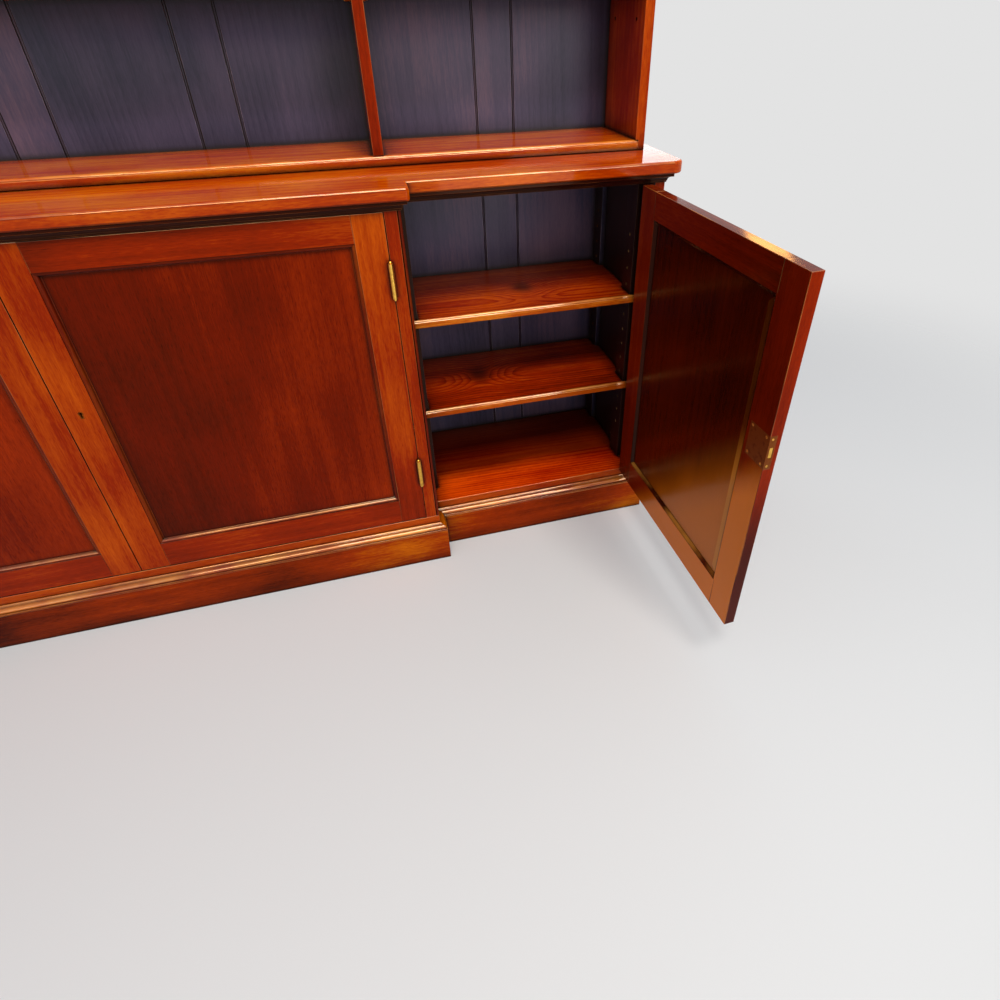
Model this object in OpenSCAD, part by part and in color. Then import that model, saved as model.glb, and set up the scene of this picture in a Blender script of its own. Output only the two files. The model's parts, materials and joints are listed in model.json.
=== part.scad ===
// Breakfront bookcase: a cupboard base whose middle part stands forward of its two wings,
// with four panelled doors, and a straight open bookcase set back on its moulded top.
// Millimetres. X runs to the right, the front faces -Y, Z is up. The origin is on the floor,
// at the middle of the base's width and depth, under the middle bearer of the plinth.

/* [Base carcase] */
// Height of the base, floor to top
base_h = 910; // [860:5:980]
// Depth of the base at its middle part
base_d = 368; // [340:2:440]
// Width of the middle part
centre_w = 1320; // [1140:2:1500]
// Width of each wing
wing_w = 538; // [460:1:640]
// How far the middle part stands forward of the wings
break_d = 50; // [35:1:80]
// Thickness of end panels and divisions
panel_board_t = 22; // [19:1:25]
// Thickness of the floor boards
floor_t = 20; // [18:1:24]
// Depth of the grooves that hold the floor boards' ends
housing_d = 6; // [4:1:8]

/* [Plinth] */
// Height of the plinth boards
plinth_h = 92; // [70:1:120]
// Thickness of the plinth boards
plinth_t = 22; // [20:1:26]
// How far the plinth stands out from the carcase
plinth_out = 16; // [15:1:20]
// Height of the moulding on the plinth
plinth_mould_h = 19; // [19:1:26]
// Thickness of the bearers across the plinth
bearer_t = 40; // [30:1:50]

/* [Base top] */
// Thickness of the base top
top_t = 24; // [20:1:30]
// Overhang of the base top at the front
top_over = 18; // [14:1:26]
// Overhang of the base top at its ends
top_over_end = 34; // [16:1:40]
// Plan radius of the top's outer corners
top_corner_r = 25; // [12:1:30]
// Plan radius of the top's corners at the break
break_corner_r = 6; // [6:1:10]
// Rounding of the top's upper edge
top_ease = 5; // [3:0.5:6]
// Rounding of the top's lower edge
top_ease_low = 3.5; // [2:0.5:5]
// Height of the moulding under the top
bed_h = 18; // [18:1:26]

/* [Middle stiles] */
// Width of the beaded stiles at the break
stile_face_w = 30; // [28:1:50]
// Thickness of the beaded stiles and the rails
face_t = 22; // [18:1:25]
// Width of the bead on a stile
bead_w = 6; // [4:0.5:8]

/* [Doors] */
// Thickness of a door
door_t = 22; // [20:1:26]
// Gap round a door
door_gap = 1.5; // [1.2:0.1:2.5]
// How far a door lies behind the face around it
door_set = 1; // [0:0.5:2]
// Flat width of a door stile
stile_w = 57; // [50:1:75]
// Flat height of a door's top rail
top_rail_w = 52; // [46:1:70]
// Flat height of a door's bottom rail
bottom_rail_w = 66; // [56:1:90]
// Width of the moulding worked on the frame
stuck_w = 10; // [9:0.5:14]
// Thickness of a door panel
door_panel_t = 8; // [6:0.5:8]
// How far a door panel lies behind the door's face
panel_sunk = 8; // [7.5:0.5:8.5]
// Length of the rails' tenons
tenon_l = 40; // [25:1:45]
// Thickness of the rails' tenons
tenon_t = 8; // [6:0.5:10]
// How far the right wing door stands open
rest_open = 92; // [0:1:150]

/* [Hinges] */
// Length of a butt hinge
hinge_l = 70; // [60:1:76]
// Thickness of a hinge leaf
leaf_t = 2; // [1.5:0.1:2.5]
// Width of a hinge leaf on the wood
leaf_w = 17; // [14:0.5:19]
// Diameter of a hinge knuckle
knuckle_d = 9; // [8:0.5:9.5]
// Diameter of a hinge pin
pin_d = 3.6; // [3:0.1:4]
// Distance from the face to the middle of the pin
pin_out = 5; // [5:0.1:6]
// Height of the lower hinge's middle on its door
hinge_low = 141; // [100:1:160]
// Distance of the upper hinge's middle below the door's top
hinge_high = 128; // [100:1:160]

/* [Locks and bolts] */
// Width of a cupboard lock
lock_w = 52; // [44:1:54]
// Height of a cupboard lock
lock_h = 66; // [56:1:76]
// Height of the lock's middle on its door
lock_z = 428; // [330:1:480]
// Height of a lock's bolt
lock_bolt_h = 20; // [14:1:24]
// Throw of a lock's bolt
lock_throw = 8; // [5:0.5:9]
// Length of a slip bolt's plate
slip_l = 90; // [70:1:120]
// Diameter of a slip bolt's rod
slip_d = 6; // [5:0.5:7]
// Throw of a slip bolt
slip_throw = 11; // [8:0.5:12]

/* [Shelves] */
// Thickness of a cupboard shelf
shelf_t = 19; // [17:1:22]
// Distance of a cupboard shelf's front behind the carcase's face
shelf_set = 44; // [38:1:60]
// Pitch of the peg holes
peg_pitch = 39; // [36:0.5:42]
// Number of peg holes in an upright
peg_holes = 14; // [12:1:14]
// Diameter of a shelf peg
peg_d = 7; // [6:0.5:8]
// Peg hole that carries the lower shelf, counted from 0
lower_hole = 3; // [2:1:4]
// Peg hole that carries the upper shelf
upper_hole = 9; // [8:1:10]
// Thickness of a shelf upright
upright_t = 12; // [10:0.5:16]
// Width of a shelf upright
upright_w = 50; // [40:1:56]
// Distance of the front upright behind the shelf's front
shelf_ear = 8; // [6:1:14]

/* [Back] */
// Thickness of the back boards
back_t = 12; // [9:1:14]
// Width of a muntin in the back
muntin_w = 90; // [70:1:110]
// Number of muntins in the middle part's back
centre_muntins = 3; // [1:1:3]

/* [Upper bookcase] */
// Height of the upper bookcase without its cornice's crown
upper_h = 1220; // [1100:5:1300]
// Distance of its front behind the wings' face
upper_set = 116; // [90:1:130]
// Thickness of its boards
upper_board_t = 20; // [18:1:24]
// Distance from a division's middle to the break
upper_division_in = 20; // [16:0.5:40]
// Height of the frieze rail
frieze_h = 70; // [50:1:90]
// Height of the cornice moulding
cornice_h = 105; // [95:1:120]
// How far the cornice starts below the top of the ends
cornice_drop = 35; // [28:1:42]
// Number of peg holes from one upper shelf to the next
upper_step = 7; // [6:1:7]
// Number of adjustable shelves in each upper bay
upper_shelves = 3; // [1:1:3]

/* [Hidden] */
$fn = 32;

// Colours, as polished mahogany, stained pine and brass
mahogany = "#6b2a12";
mahogany_lit = "#8a3a16";
pine = "#8c3d14";
stain = "#2c2a38";
brass = "#b8903f";

// Main planes, from the origin
front_c = -base_d / 2;
front_w = front_c + break_d;
back_y = base_d / 2;
half = centre_w / 2;
end_x = half + wing_w;
floor_z0 = plinth_h + plinth_mould_h;
floor_z = floor_z0 + floor_t;
top_z0 = base_h - top_t;
rail_z0 = top_z0 - bed_h;
back_y0 = back_y - back_t;
end_in_x = end_x - panel_board_t;
div_in_x = half - panel_board_t;
upper_y = front_w + upper_set;
upper_z1 = base_h + upper_h;
upper_in_x = end_x - upper_board_t;
upper_div_x = half - upper_division_in;
upper_floor_z = base_h + upper_board_t;
upper_top_z0 = upper_z1 - upper_board_t;
frieze_z0 = upper_top_z0 - frieze_h;

// Hairline joint between lengths that share a node
hair = 0.1;
// Size of a cutter that clears the whole piece
far = 3000;
// Small run past a face, so that a cut leaves nothing behind
past = 1;
// Rebate in the end panels for the back
rebate = 10;

// Doors: opening between the members beside it, and the pin's place on a door
wing_open_w = end_in_x - half;
centre_open_w = centre_w - 2 * stile_face_w;
wing_door_w = wing_open_w - 2 * door_gap;
centre_door_w = (centre_open_w - 3 * door_gap) / 2;
door_h = rail_z0 - floor_z - 2 * door_gap;
door_z0 = floor_z + door_gap;
wing_door_y = front_w + door_set;
centre_door_y = front_c + door_set;
aperture_h = door_h - top_rail_w - bottom_rail_w;
tenon_y = (door_t - tenon_t) / 2;
tenon_haunch = 8;
tenon_shoulder = 4;
groove_s = 2;
panel_ease = 0.5;
knuckle_r = knuckle_d / 2;
knuckles = 5;
pin_clear = 0.05;
pin_in_door = pin_out + door_set;
hinge_zs = [hinge_low, door_h - hinge_high];

// Lock: its case, back plate and selvage, from the door's free edge and front
lock_case_t = 11;
lock_plate_t = 1.6;
selvage_t = 2;
lock_rim_w = 8;
lock_rim_h = 10;
lock_case_w = lock_w - lock_rim_w;
lock_case_h = lock_h - lock_rim_h;
lock_y = door_t - lock_plate_t - lock_case_t;
lock_bolt_t = 6;
lock_bolt_l = 30;
lock_bolt_y = lock_y + 2.5;
lock_bolt_set = 0.3;
slide_clear = 0.2;
mortise_clear = 0.6;
keyhole_x = 30;
keyhole_drop = 16;
keyhole_r = 2.5;
keyhole_slot_w = 2.4;
keyhole_slot_l = 9;
escutcheon_t = 2;
escutcheon_rim = 2.2;

// Slip bolts: rod, plate and knob, near the meeting edge
slip_x = 9;
slip_depth = 8;
slip_y = door_t - slip_depth;
slip_plate_t = 1.8;
slip_plate_w = 15;
slip_plate_in = 10;
slip_rod_l = 62;
slip_knob_in = 48;
slip_knob_r = 2.5;
slip_set = 0.5;

// Shelves and pegs
peg_r = peg_d / 2;
peg_l = 18;
peg_hole_depth = 8;
lowest_hole = 102.5;
first_hole_z = floor_z + lowest_hole;
shelf_clear = 1;
shelf_holes = [lower_hole, upper_hole];
upright_set = shelf_set + shelf_ear;
rear_upright_y = back_y0 - upright_w;
upper_lowest_hole = 256.5;
upper_first_z = upper_floor_z + upper_lowest_hole;
upper_hole_front = 40;
upper_hole_back = 35;
upper_hole_y = [upper_y + upper_hole_front, back_y0 - upper_hole_back];
upper_hole_spread = 1;
upper_div_in = upper_div_x - upper_board_t / 2;
upper_div_out = upper_div_x + upper_board_t / 2;
division_back = 2;

// Points on an arc, in order
function arc(cx, cy, r, a0, a1, n = 6) =
    [for (i = [0:n]) let (a = a0 + (a1 - a0) * i / n) [cx + r * cos(a), cy + r * sin(a)]];

// Length of a section along +X: the section's x points out to -Y and its y is height
module run_x(len) {
    mirror([0, 1, 0])
        rotate([90, 0, 90])
            linear_extrude(len) children();
}

// Takes away all that lies past a run's start: turn 1 is an outside mitre, -1 an inside one
module mitre_cutter(turn) {
    rotate([0, 0, -45 * turn])
        translate([hair / 2 - far, -far / 2, -far / 2]) cube([far, far, far]);
}

// Length of moulding along +X with a mitre at each end
module moulding(len, turn0, turn1, reach) {
    difference() {
        translate([-reach, 0, 0]) run_x(len + 2 * reach) children();
        mitre_cutter(turn0);
        translate([len, 0, 0]) mirror([1, 0, 0]) mitre_cutter(turn1);
    }
}

// Both halves of something symmetrical about the middle
module both_sides() {
    children();
    mirror([1, 0, 0]) children();
}

// Seven lengths of moulding round the front and ends of the base
module wrap_base(reach) {
    translate([-half, front_c, 0]) moulding(centre_w, 1, 1, reach) children();
    both_sides() {
        translate([half, front_c, 0])
            rotate([0, 0, 90]) moulding(break_d, 1, -1, reach) children();
        translate([half, front_w, 0]) moulding(wing_w, -1, 1, reach) children();
        translate([end_x, front_w, 0])
            rotate([0, 0, 90]) moulding(back_y - front_w, 1, 0, reach) children();
    }
}

// Plinth

module plinth_section() {
    inner = plinth_out - plinth_t;
    polygon([[inner, 0], [plinth_out, 0], [plinth_out, plinth_h], [inner, plinth_h]]);
}

module plinth_front_boards() {
    color(mahogany) {
        translate([-half, front_c, 0]) moulding(centre_w, 1, 1, plinth_t) plinth_section();
        both_sides()
            translate([half, front_w, 0]) moulding(wing_w, -1, 1, plinth_t) plinth_section();
    }
}

module plinth_side_boards() {
    color(mahogany)
        both_sides() {
            translate([half, front_c, 0])
                rotate([0, 0, 90]) moulding(break_d, 1, -1, plinth_t) plinth_section();
            translate([end_x, front_w, 0])
                rotate([0, 0, 90]) moulding(back_y - front_w, 1, 0, plinth_t) plinth_section();
        }
}

// Back rail and the bearers that carry the carcase: under the ends, the divisions and the middle
module plinth_inner_rails() {
    rail_x = end_x + plinth_out - plinth_t;
    inner = plinth_t - plinth_out;
    color(pine) {
        translate([-rail_x, back_y - plinth_t, 0]) cube([2 * rail_x, plinth_t, floor_z0]);
        translate([-bearer_t / 2, front_c + inner, 0])
            cube([bearer_t, back_y - plinth_t - front_c - inner - hair, floor_z0]);
        both_sides() {
            translate([rail_x - bearer_t, front_w + inner, 0])
                cube([bearer_t, back_y - plinth_t - front_w - inner - hair, floor_z0]);
            translate([half - inner - bearer_t, front_c + inner, 0])
                cube([bearer_t, back_y - plinth_t - front_c - inner - hair, floor_z0]);
        }
    }
}

// Fillet, quirk, ovolo, cavetto and a last fillet, drawn upwards from the plinth board
module plinth_mould_section() {
    inner = plinth_out - plinth_t;
    fillet = 3;
    quirk = 1.5;
    step = 2.5;
    ovolo_r = 9;
    brow = 0.5;
    ovolo_x = plinth_out - step - ovolo_r;
    ovolo_z = fillet + quirk;
    cove_r = plinth_mould_h - ovolo_z - ovolo_r - 1 - brow;
    polygon(concat(
        [[inner, 0], [plinth_out, 0], [plinth_out, fillet], [plinth_out - step, fillet]],
        arc(ovolo_x, ovolo_z, ovolo_r, 0, 90),
        arc(ovolo_x, plinth_mould_h - brow, cove_r, -90, -180, 4),
        [[ovolo_x - cove_r, plinth_mould_h], [inner, plinth_mould_h]]
    ));
}

module plinth_moulding() {
    color(mahogany_lit)
        translate([0, 0, plinth_h]) wrap_base(plinth_t) plinth_mould_section();
}

// Carcase

// The middle board runs on under the stiles, and all three are housed in the upright boards
module base_floor_boards() {
    color(pine) {
        difference() {
            union() {
                translate([-div_in_x - housing_d, front_c, floor_z0])
                    cube([2 * (div_in_x + housing_d), back_y0 - front_c, floor_t]);
                translate([-half, front_c, floor_z0]) cube([centre_w, face_t, floor_t]);
            }
            in_left_centre() turned_over() slip_socket();
        }
        both_sides()
            translate([half - housing_d, front_w, floor_z0])
                cube([wing_open_w + 2 * housing_d, back_y0 - front_w, floor_t]);
    }
}

// A butt hinge's leaf, as let into a member whose face is at y = 0 and whose edge is at x = 0
module leaf_recess() {
    translate([0, -past, -hinge_l / 2]) cube([leaf_t, leaf_w + past, hinge_l]);
}

// Places something at both hinges of a door, from the door's lower edge
module at_hinges() {
    for (z = hinge_zs)
        translate([0, 0, door_z0 + z]) children();
}

module base_end_panels() {
    color(mahogany)
        both_sides()
            difference() {
                translate([end_in_x, front_w, floor_z0])
                    cube([panel_board_t, back_y - front_w, top_z0 - floor_z0]);
                translate([end_in_x - past, back_y0, floor_z0 - past])
                    cube([rebate + past, back_t + past, top_z0 - floor_z0 + 2 * past]);
                translate([end_in_x - past, front_w - past, floor_z0 - past])
                    cube([housing_d + past, back_y0 - front_w + past, floor_t + past]);
                translate([end_in_x, front_w, 0]) at_hinges() leaf_recess();
            }
}

// Each division has a housing on both faces and a mortise for the wing door's lock bolt
module base_divisions() {
    division_y = front_c + face_t;
    color(mahogany)
        both_sides()
            difference() {
                translate([div_in_x, division_y, floor_z0])
                    cube([panel_board_t, back_y0 - division_y, top_z0 - floor_z0]);
                translate([div_in_x - past, division_y - past, floor_z0 - past])
                    cube([housing_d + past, back_y0 - division_y + 2 * past, floor_t + past]);
                translate([half - housing_d, front_w, floor_z0 - past])
                    cube([housing_d + past, back_y0 - front_w + past, floor_t + past]);
                translate([half, wing_door_y, door_z0]) mirror([1, 0, 0]) lock_mortise();
            }
}

// Pocket for a lock's bolt in the edge at x = 0 that the door closes against, open to -X
module lock_mortise() {
    translate([-past, lock_bolt_y - mortise_clear, lock_z - lock_bolt_h / 2 - mortise_clear])
        cube([past + lock_throw + mortise_clear, lock_bolt_t + 2 * mortise_clear,
              lock_bolt_h + 2 * mortise_clear]);
}

// Stile with a quirked bead along its outer front arris, seen from above
module stile_section() {
    bead_r = bead_w / 2;
    quirk = 1;
    polygon(concat(
        [[0, 0], [stile_face_w - bead_w - quirk, 0], [stile_face_w - bead_w, bead_r]],
        arc(stile_face_w - bead_r, bead_r, bead_r, 180, 360, 10),
        [[stile_face_w, face_t], [0, face_t]]
    ));
}

module base_centre_stiles() {
    color(mahogany_lit)
        both_sides()
            difference() {
                translate([half - stile_face_w, front_c, floor_z])
                    linear_extrude(rail_z0 - floor_z) stile_section();
                translate([half - stile_face_w, front_c, 0]) at_hinges() leaf_recess();
            }
}

// Rails under the top, at the front of each part
module base_top_rails() {
    color(mahogany) {
        difference() {
            translate([-half, front_c, rail_z0]) cube([centre_w, face_t, bed_h]);
            in_left_centre() slip_socket();
        }
        both_sides()
            translate([half, front_w, rail_z0]) cube([wing_open_w, face_t, bed_h]);
    }
}

// Hole above a door's top edge that takes its slip bolt's end
module slip_socket() {
    translate([slip_x, slip_y, door_h]) cylinder(d = slip_d + 1, h = slip_throw + door_gap);
}

// Backs, framed upright: wide panels tongued into muntins with a bead on each arris

back_tongue = 6;
back_tongue_t = 4;
back_bead_r = 2.5;

// Cross-section of a muntin, its face at y = 0
module muntin_section() {
    w = muntin_w / 2;
    r = back_bead_r;
    quirk = 1;
    groove_y = (back_t - back_tongue_t) / 2;
    for (side = [0, 1])
        mirror([side, 0])
            difference() {
                union() {
                    square([w - 2 * r - quirk, back_t]);
                    translate([0, r]) square([w, back_t - r]);
                    translate([w - r, r]) circle(r);
                }
                translate([w - back_tongue, groove_y]) square([back_tongue + past, back_tongue_t]);
            }
}

// Cross-section of a panel from x0 to x1, with a tongue on each edge that meets a muntin
module back_panel_section(x0, x1, tongue0, tongue1) {
    tongue_y = (back_t - back_tongue_t) / 2 + hair;
    translate([x0, 0]) square([x1 - x0, back_t]);
    translate([x0 - tongue0 * (back_tongue - hair), tongue_y])
        square([x1 - x0 + (tongue0 + tongue1) * (back_tongue - hair), back_tongue_t - 2 * hair]);
}

// One bay of a back between x0 and x1, its muntins spaced in the opening from in0 to in1
module back_bay(x0, x1, in0, in1, count, h) {
    panel_w = (in1 - in0 - count * muntin_w) / (count + 1);
    pitch = panel_w + muntin_w;
    for (i = [0:count - 1])
        translate([in0 + panel_w + muntin_w / 2 + i * pitch, 0, 0]) linear_extrude(h) muntin_section();
    for (i = [0:count])
        linear_extrude(h)
            back_panel_section(i == 0 ? x0 : in0 + i * pitch + hair,
                               i == count ? x1 : in0 + i * pitch + panel_w - hair,
                               i == 0 ? 0 : 1, i == count ? 0 : 1);
}

// The back of one storey: a middle bay and a bay on each side
module back_boards(joint_x, centre_in, wing_in0, wing_in1, h) {
    back_bay(-joint_x + hair, joint_x - hair, -centre_in, centre_in, centre_muntins, h);
    both_sides() back_bay(joint_x, wing_in1 + rebate, wing_in0, wing_in1, 1, h);
}

module base_back_boards() {
    color(stain)
        translate([0, back_y0, floor_z0])
            back_boards(half - panel_board_t / 2, div_in_x, half, end_in_x, top_z0 - floor_z0);
}

// Base top

// Section of the top's eased edge, r long, with the outer edge at x = r
module eased_section(r) {
    polygon(concat(
        [[0, 0], [r - top_ease_low, 0]],
        arc(r - top_ease_low, top_ease_low, top_ease_low, -90, 0),
        arc(r - top_ease, top_t - top_ease, top_ease, 0, 90),
        [[0, top_t]]
    ));
}

// Board with an eased edge at the front and both ends, and front corners of radius r
module eased_board(w, d, r) {
    translate([r, r, 0]) cube([w - 2 * r, d - r, top_t]);
    translate([r, r, 0]) run_x(w - 2 * r) eased_section(r);
    translate([w - r, r, 0]) rotate([0, 0, 90]) run_x(d - r) eased_section(r);
    translate([r, d, 0]) rotate([0, 0, -90]) run_x(d - r) eased_section(r);
    translate([r, r, 0]) rotate([0, 0, 180]) rotate_extrude(angle = 90) eased_section(r);
    translate([w - r, r, 0]) rotate([0, 0, -90]) rotate_extrude(angle = 90) eased_section(r);
}

module base_top() {
    wing_x = end_x + top_over_end;
    centre_x = half + top_over;
    color(mahogany_lit) {
        translate([-wing_x, front_w - top_over, top_z0])
            eased_board(2 * wing_x, back_y - front_w + top_over, top_corner_r);
        translate([-centre_x, front_c - top_over, top_z0])
            eased_board(2 * centre_x, break_d + 2 * top_over, break_corner_r);
    }
}

// Fillet, cove and a top fillet, drawn upwards against the rail
module bed_section() {
    cove_r = 9;
    foot = 2;
    rise = 3;
    polygon(concat(
        [[0, 0], [foot, 0], [foot, rise], [foot + 1, rise]],
        arc(foot + 1 + cove_r, rise, cove_r, 180, 90),
        [[foot + 2 + cove_r, rise + cove_r], [foot + 2 + cove_r, bed_h], [0, bed_h]]
    ));
}

module bed_moulding() {
    color(mahogany)
        translate([0, 0, rail_z0]) wrap_base(top_over) bed_section();
}

// Shelves of the base

// Upright with a column of blind peg holes, its face at x = 0 turned to -X
module shelf_upright(hole_y, y0) {
    difference() {
        translate([0, y0, floor_z]) cube([upright_t, upright_w, top_z0 - floor_z]);
        for (i = [0:peg_holes - 1])
            translate([-past, hole_y, first_hole_z + i * peg_pitch])
                rotate([0, 90, 0]) cylinder(r = peg_r + pin_clear, h = peg_hole_depth + past);
    }
}

// Front and rear uprights on a board whose face is at x = 0, in a part whose face is at y = front
module upright_pair(front) {
    translate([-upright_t, 0, 0]) {
        shelf_upright(front + upright_set + upright_w / 2, front + upright_set);
        shelf_upright(rear_upright_y + upright_w / 2, rear_upright_y);
    }
}

module shelf_uprights() {
    color(stain)
        both_sides() {
            translate([end_in_x, 0, 0]) upright_pair(front_w);
            translate([half, 0, 0]) mirror([1, 0, 0]) upright_pair(front_w);
            translate([div_in_x, 0, 0]) upright_pair(front_c);
        }
}

// Shelf pegs, each half in its hole

module peg(x, y, z, out) {
    translate([x - out * peg_hole_depth, y, z])
        rotate([0, 90 * out, 0]) cylinder(d = peg_d, h = peg_l);
}

// The four pegs of a shelf between the faces x0 and x1
module shelf_peg_set(x0, x1, ys, z) {
    for (y = ys) {
        peg(x0, y, z, 1);
        peg(x1, y, z, -1);
    }
}

module shelf_pegs() {
    rear = rear_upright_y + upright_w / 2;
    wing_ys = [front_w + upright_set + upright_w / 2, rear];
    centre_ys = [front_c + upright_set + upright_w / 2, rear];
    color(brass) {
        for (k = shelf_holes) {
            z = first_hole_z + k * peg_pitch;
            shelf_peg_set(-div_in_x + upright_t, div_in_x - upright_t, centre_ys, z);
            both_sides() shelf_peg_set(half + upright_t, end_in_x - upright_t, wing_ys, z);
        }
        for (k = [0:upper_shelves - 1]) {
            z = upper_first_z + k * upper_step * peg_pitch;
            shelf_peg_set(-upper_div_in, upper_div_in, upper_hole_y, z);
            both_sides() shelf_peg_set(upper_div_out, upper_in_x, upper_hole_y, z);
        }
    }
}

// Board whose front edge has a quirked thumb at the top, its front at y = 0
module nosed_section(d, t) {
    thumb = 5;
    quirk = 1;
    ease = 1.5;
    polygon(concat(
        [[-d, 0], [-ease, 0]],
        arc(-ease, ease, ease, -90, 0, 3),
        [[0, t - thumb - quirk], [-quirk, t - thumb]],
        arc(-quirk - thumb, t - thumb, thumb, 0, 90),
        [[-d, t]]
    ));
}

// Cupboard shelf from x0 to x1, cut round the four uprights
module cupboard_shelf(x0, x1, front, z) {
    y0 = front + shelf_set;
    cut = upright_t + shelf_clear;
    difference() {
        translate([x0 + shelf_clear, y0, z])
            run_x(x1 - x0 - 2 * shelf_clear) nosed_section(back_y0 - hair - y0, shelf_t);
        for (x = [x0 - past, x1 - cut])
            for (y = [front + upright_set, rear_upright_y])
                translate([x, y - shelf_clear, z - past])
                    cube([cut + past, upright_w + 2 * shelf_clear, shelf_t + 2 * past]);
    }
}

module wing_shelves() {
    color(pine)
        for (k = shelf_holes)
            both_sides()
                cupboard_shelf(half, end_in_x, front_w, first_hole_z + k * peg_pitch + peg_r);
}

module centre_shelves() {
    color(pine)
        for (k = shelf_holes)
            cupboard_shelf(-div_in_x, div_in_x, front_c, first_hole_z + k * peg_pitch + peg_r);
}

// Upper bookcase

module upper_bottom_board() {
    color(mahogany_lit)
        translate([-upper_in_x - housing_d, upper_y, base_h])
            run_x(2 * (upper_in_x + housing_d)) nosed_section(back_y0 - upper_y, upper_board_t);
}

// Columns of peg holes in a board whose face is at x = 0 turned to -X
module upper_peg_holes() {
    for (y = upper_hole_y)
        for (k = [0:upper_shelves - 1])
            for (i = [-upper_hole_spread:upper_hole_spread])
                translate([-past, y, upper_first_z + (k * upper_step + i) * peg_pitch])
                    rotate([0, 90, 0]) cylinder(r = peg_r + pin_clear, h = peg_hole_depth + past);
}

module upper_end_panels() {
    color(mahogany)
        both_sides()
            difference() {
                translate([upper_in_x, upper_y, base_h]) cube([upper_board_t, back_y - upper_y, upper_h]);
                translate([upper_in_x - past, back_y0, base_h - past])
                    cube([rebate + past, back_t + past, upper_h + 2 * past]);
                translate([upper_in_x - past, upper_y - past, base_h - past])
                    cube([housing_d + past, back_y0 - upper_y + past, upper_board_t + past]);
                translate([upper_in_x - past, upper_y - past, upper_top_z0])
                    cube([housing_d + past, back_y0 - upper_y + past, upper_board_t + past]);
                translate([upper_in_x, 0, 0]) upper_peg_holes();
            }
}

module upper_divisions() {
    y0 = upper_y + division_back;
    color(mahogany)
        both_sides()
            difference() {
                translate([upper_div_in, y0, upper_floor_z])
                    cube([upper_board_t, back_y0 - y0, upper_top_z0 - upper_floor_z]);
                translate([upper_div_in - past, y0 - past, frieze_z0])
                    cube([upper_board_t + 2 * past, face_t - division_back + past, frieze_h + past]);
                translate([upper_div_in, 0, 0]) upper_peg_holes();
                translate([upper_div_out, 0, 0]) mirror([1, 0, 0]) upper_peg_holes();
            }
}

module upper_top_board() {
    color(pine)
        translate([-upper_in_x - housing_d, upper_y, upper_top_z0])
            cube([2 * (upper_in_x + housing_d), back_y0 - upper_y, upper_board_t]);
}

module upper_back_boards() {
    color(stain)
        translate([0, back_y0, base_h])
            back_boards(upper_div_x, upper_div_in, upper_div_out, upper_in_x, upper_h);
}

module frieze_rail() {
    color(mahogany)
        translate([-upper_in_x, upper_y, frieze_z0]) cube([2 * upper_in_x, face_t, frieze_h]);
}

// Astragal, cove, cyma and top fillet, drawn upwards
module cornice_section() {
    bead_r = 4;
    cove_r = 28;
    fillet = 4;
    crown_h = 19;
    cyma_out = 20;
    cove_x = bead_r + 2 + cove_r;
    cove_z = 2 * bead_r + fillet;
    cyma_x = cove_x + fillet;
    cyma_z = cove_z + cove_r + 6;
    cyma_h = cornice_h - crown_h - cyma_z;
    crown_x = cyma_x + cyma_out + fillet;
    steps = 12;
    polygon(concat(
        [[0, 0], [bead_r, 0]],
        arc(bead_r, bead_r, bead_r, -90, 90),
        [[bead_r - 1, cove_z], [cove_x - cove_r, cove_z]],
        arc(cove_x, cove_z, cove_r, 180, 90, 10),
        [[cyma_x, cove_z + cove_r], [cyma_x, cyma_z]],
        [for (i = [1:steps]) let (a = 180 * i / steps)
            [cyma_x + cyma_out * (1 - cos(a)) / 2, cyma_z + cyma_h * i / steps]],
        [[crown_x, cyma_z + cyma_h], [crown_x, cornice_h], [0, cornice_h]]
    ));
}

module cornice_moulding() {
    reach = 70;
    color(mahogany)
        translate([0, 0, upper_z1 - cornice_drop]) {
            translate([-end_x, upper_y, 0]) moulding(2 * end_x, 1, 1, reach) cornice_section();
            both_sides()
                translate([end_x, upper_y, 0])
                    rotate([0, 0, 90]) moulding(back_y - upper_y, 1, 0, reach) cornice_section();
        }
}

module upper_shelf(x0, x1, z) {
    y0 = upper_y + division_back;
    translate([x0 + shelf_clear, y0, z])
        run_x(x1 - x0 - 2 * shelf_clear) nosed_section(back_y0 - hair - y0, upper_board_t);
}

module upper_wing_shelves() {
    color(mahogany_lit)
        for (k = [0:upper_shelves - 1])
            both_sides()
                upper_shelf(upper_div_out, upper_in_x, upper_first_z + k * upper_step * peg_pitch + peg_r);
}

module upper_centre_shelves() {
    color(mahogany_lit)
        for (k = [0:upper_shelves - 1])
            upper_shelf(-upper_div_in, upper_div_in, upper_first_z + k * upper_step * peg_pitch + peg_r);
}

// Hinges

// One leaf of a butt hinge with its knuckles: the pin's axis is the z axis, the wood's face is
// at y = face and its edge at x = edge; own is 0 for the odd knuckles and 1 for the even ones
module hinge_leaf(edge, face, own) {
    pitch = hinge_l / knuckles;
    difference() {
        union() {
            translate([edge, face, -hinge_l / 2]) cube([leaf_t, leaf_w, hinge_l]);
            for (i = [own:2:knuckles - 1])
                translate([0, 0, -hinge_l / 2 + i * pitch + hair]) {
                    cylinder(r = knuckle_r, h = pitch - 2 * hair);
                    translate([edge, 0, 0]) cube([leaf_t, face + hair, pitch - 2 * hair]);
                }
        }
        translate([0, 0, -hinge_l]) cylinder(d = pin_d + 2 * pin_clear, h = 2 * hinge_l);
    }
}

// Hinge pin with a turned ball at each end
module hinge_pin() {
    ball_r = 2.6;
    cylinder(d = pin_d, h = hinge_l + 2 * hair, center = true);
    for (side = [-1, 1])
        translate([0, 0, side * (hinge_l / 2 + hair + ball_r - 0.5)]) sphere(r = ball_r);
}

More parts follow.
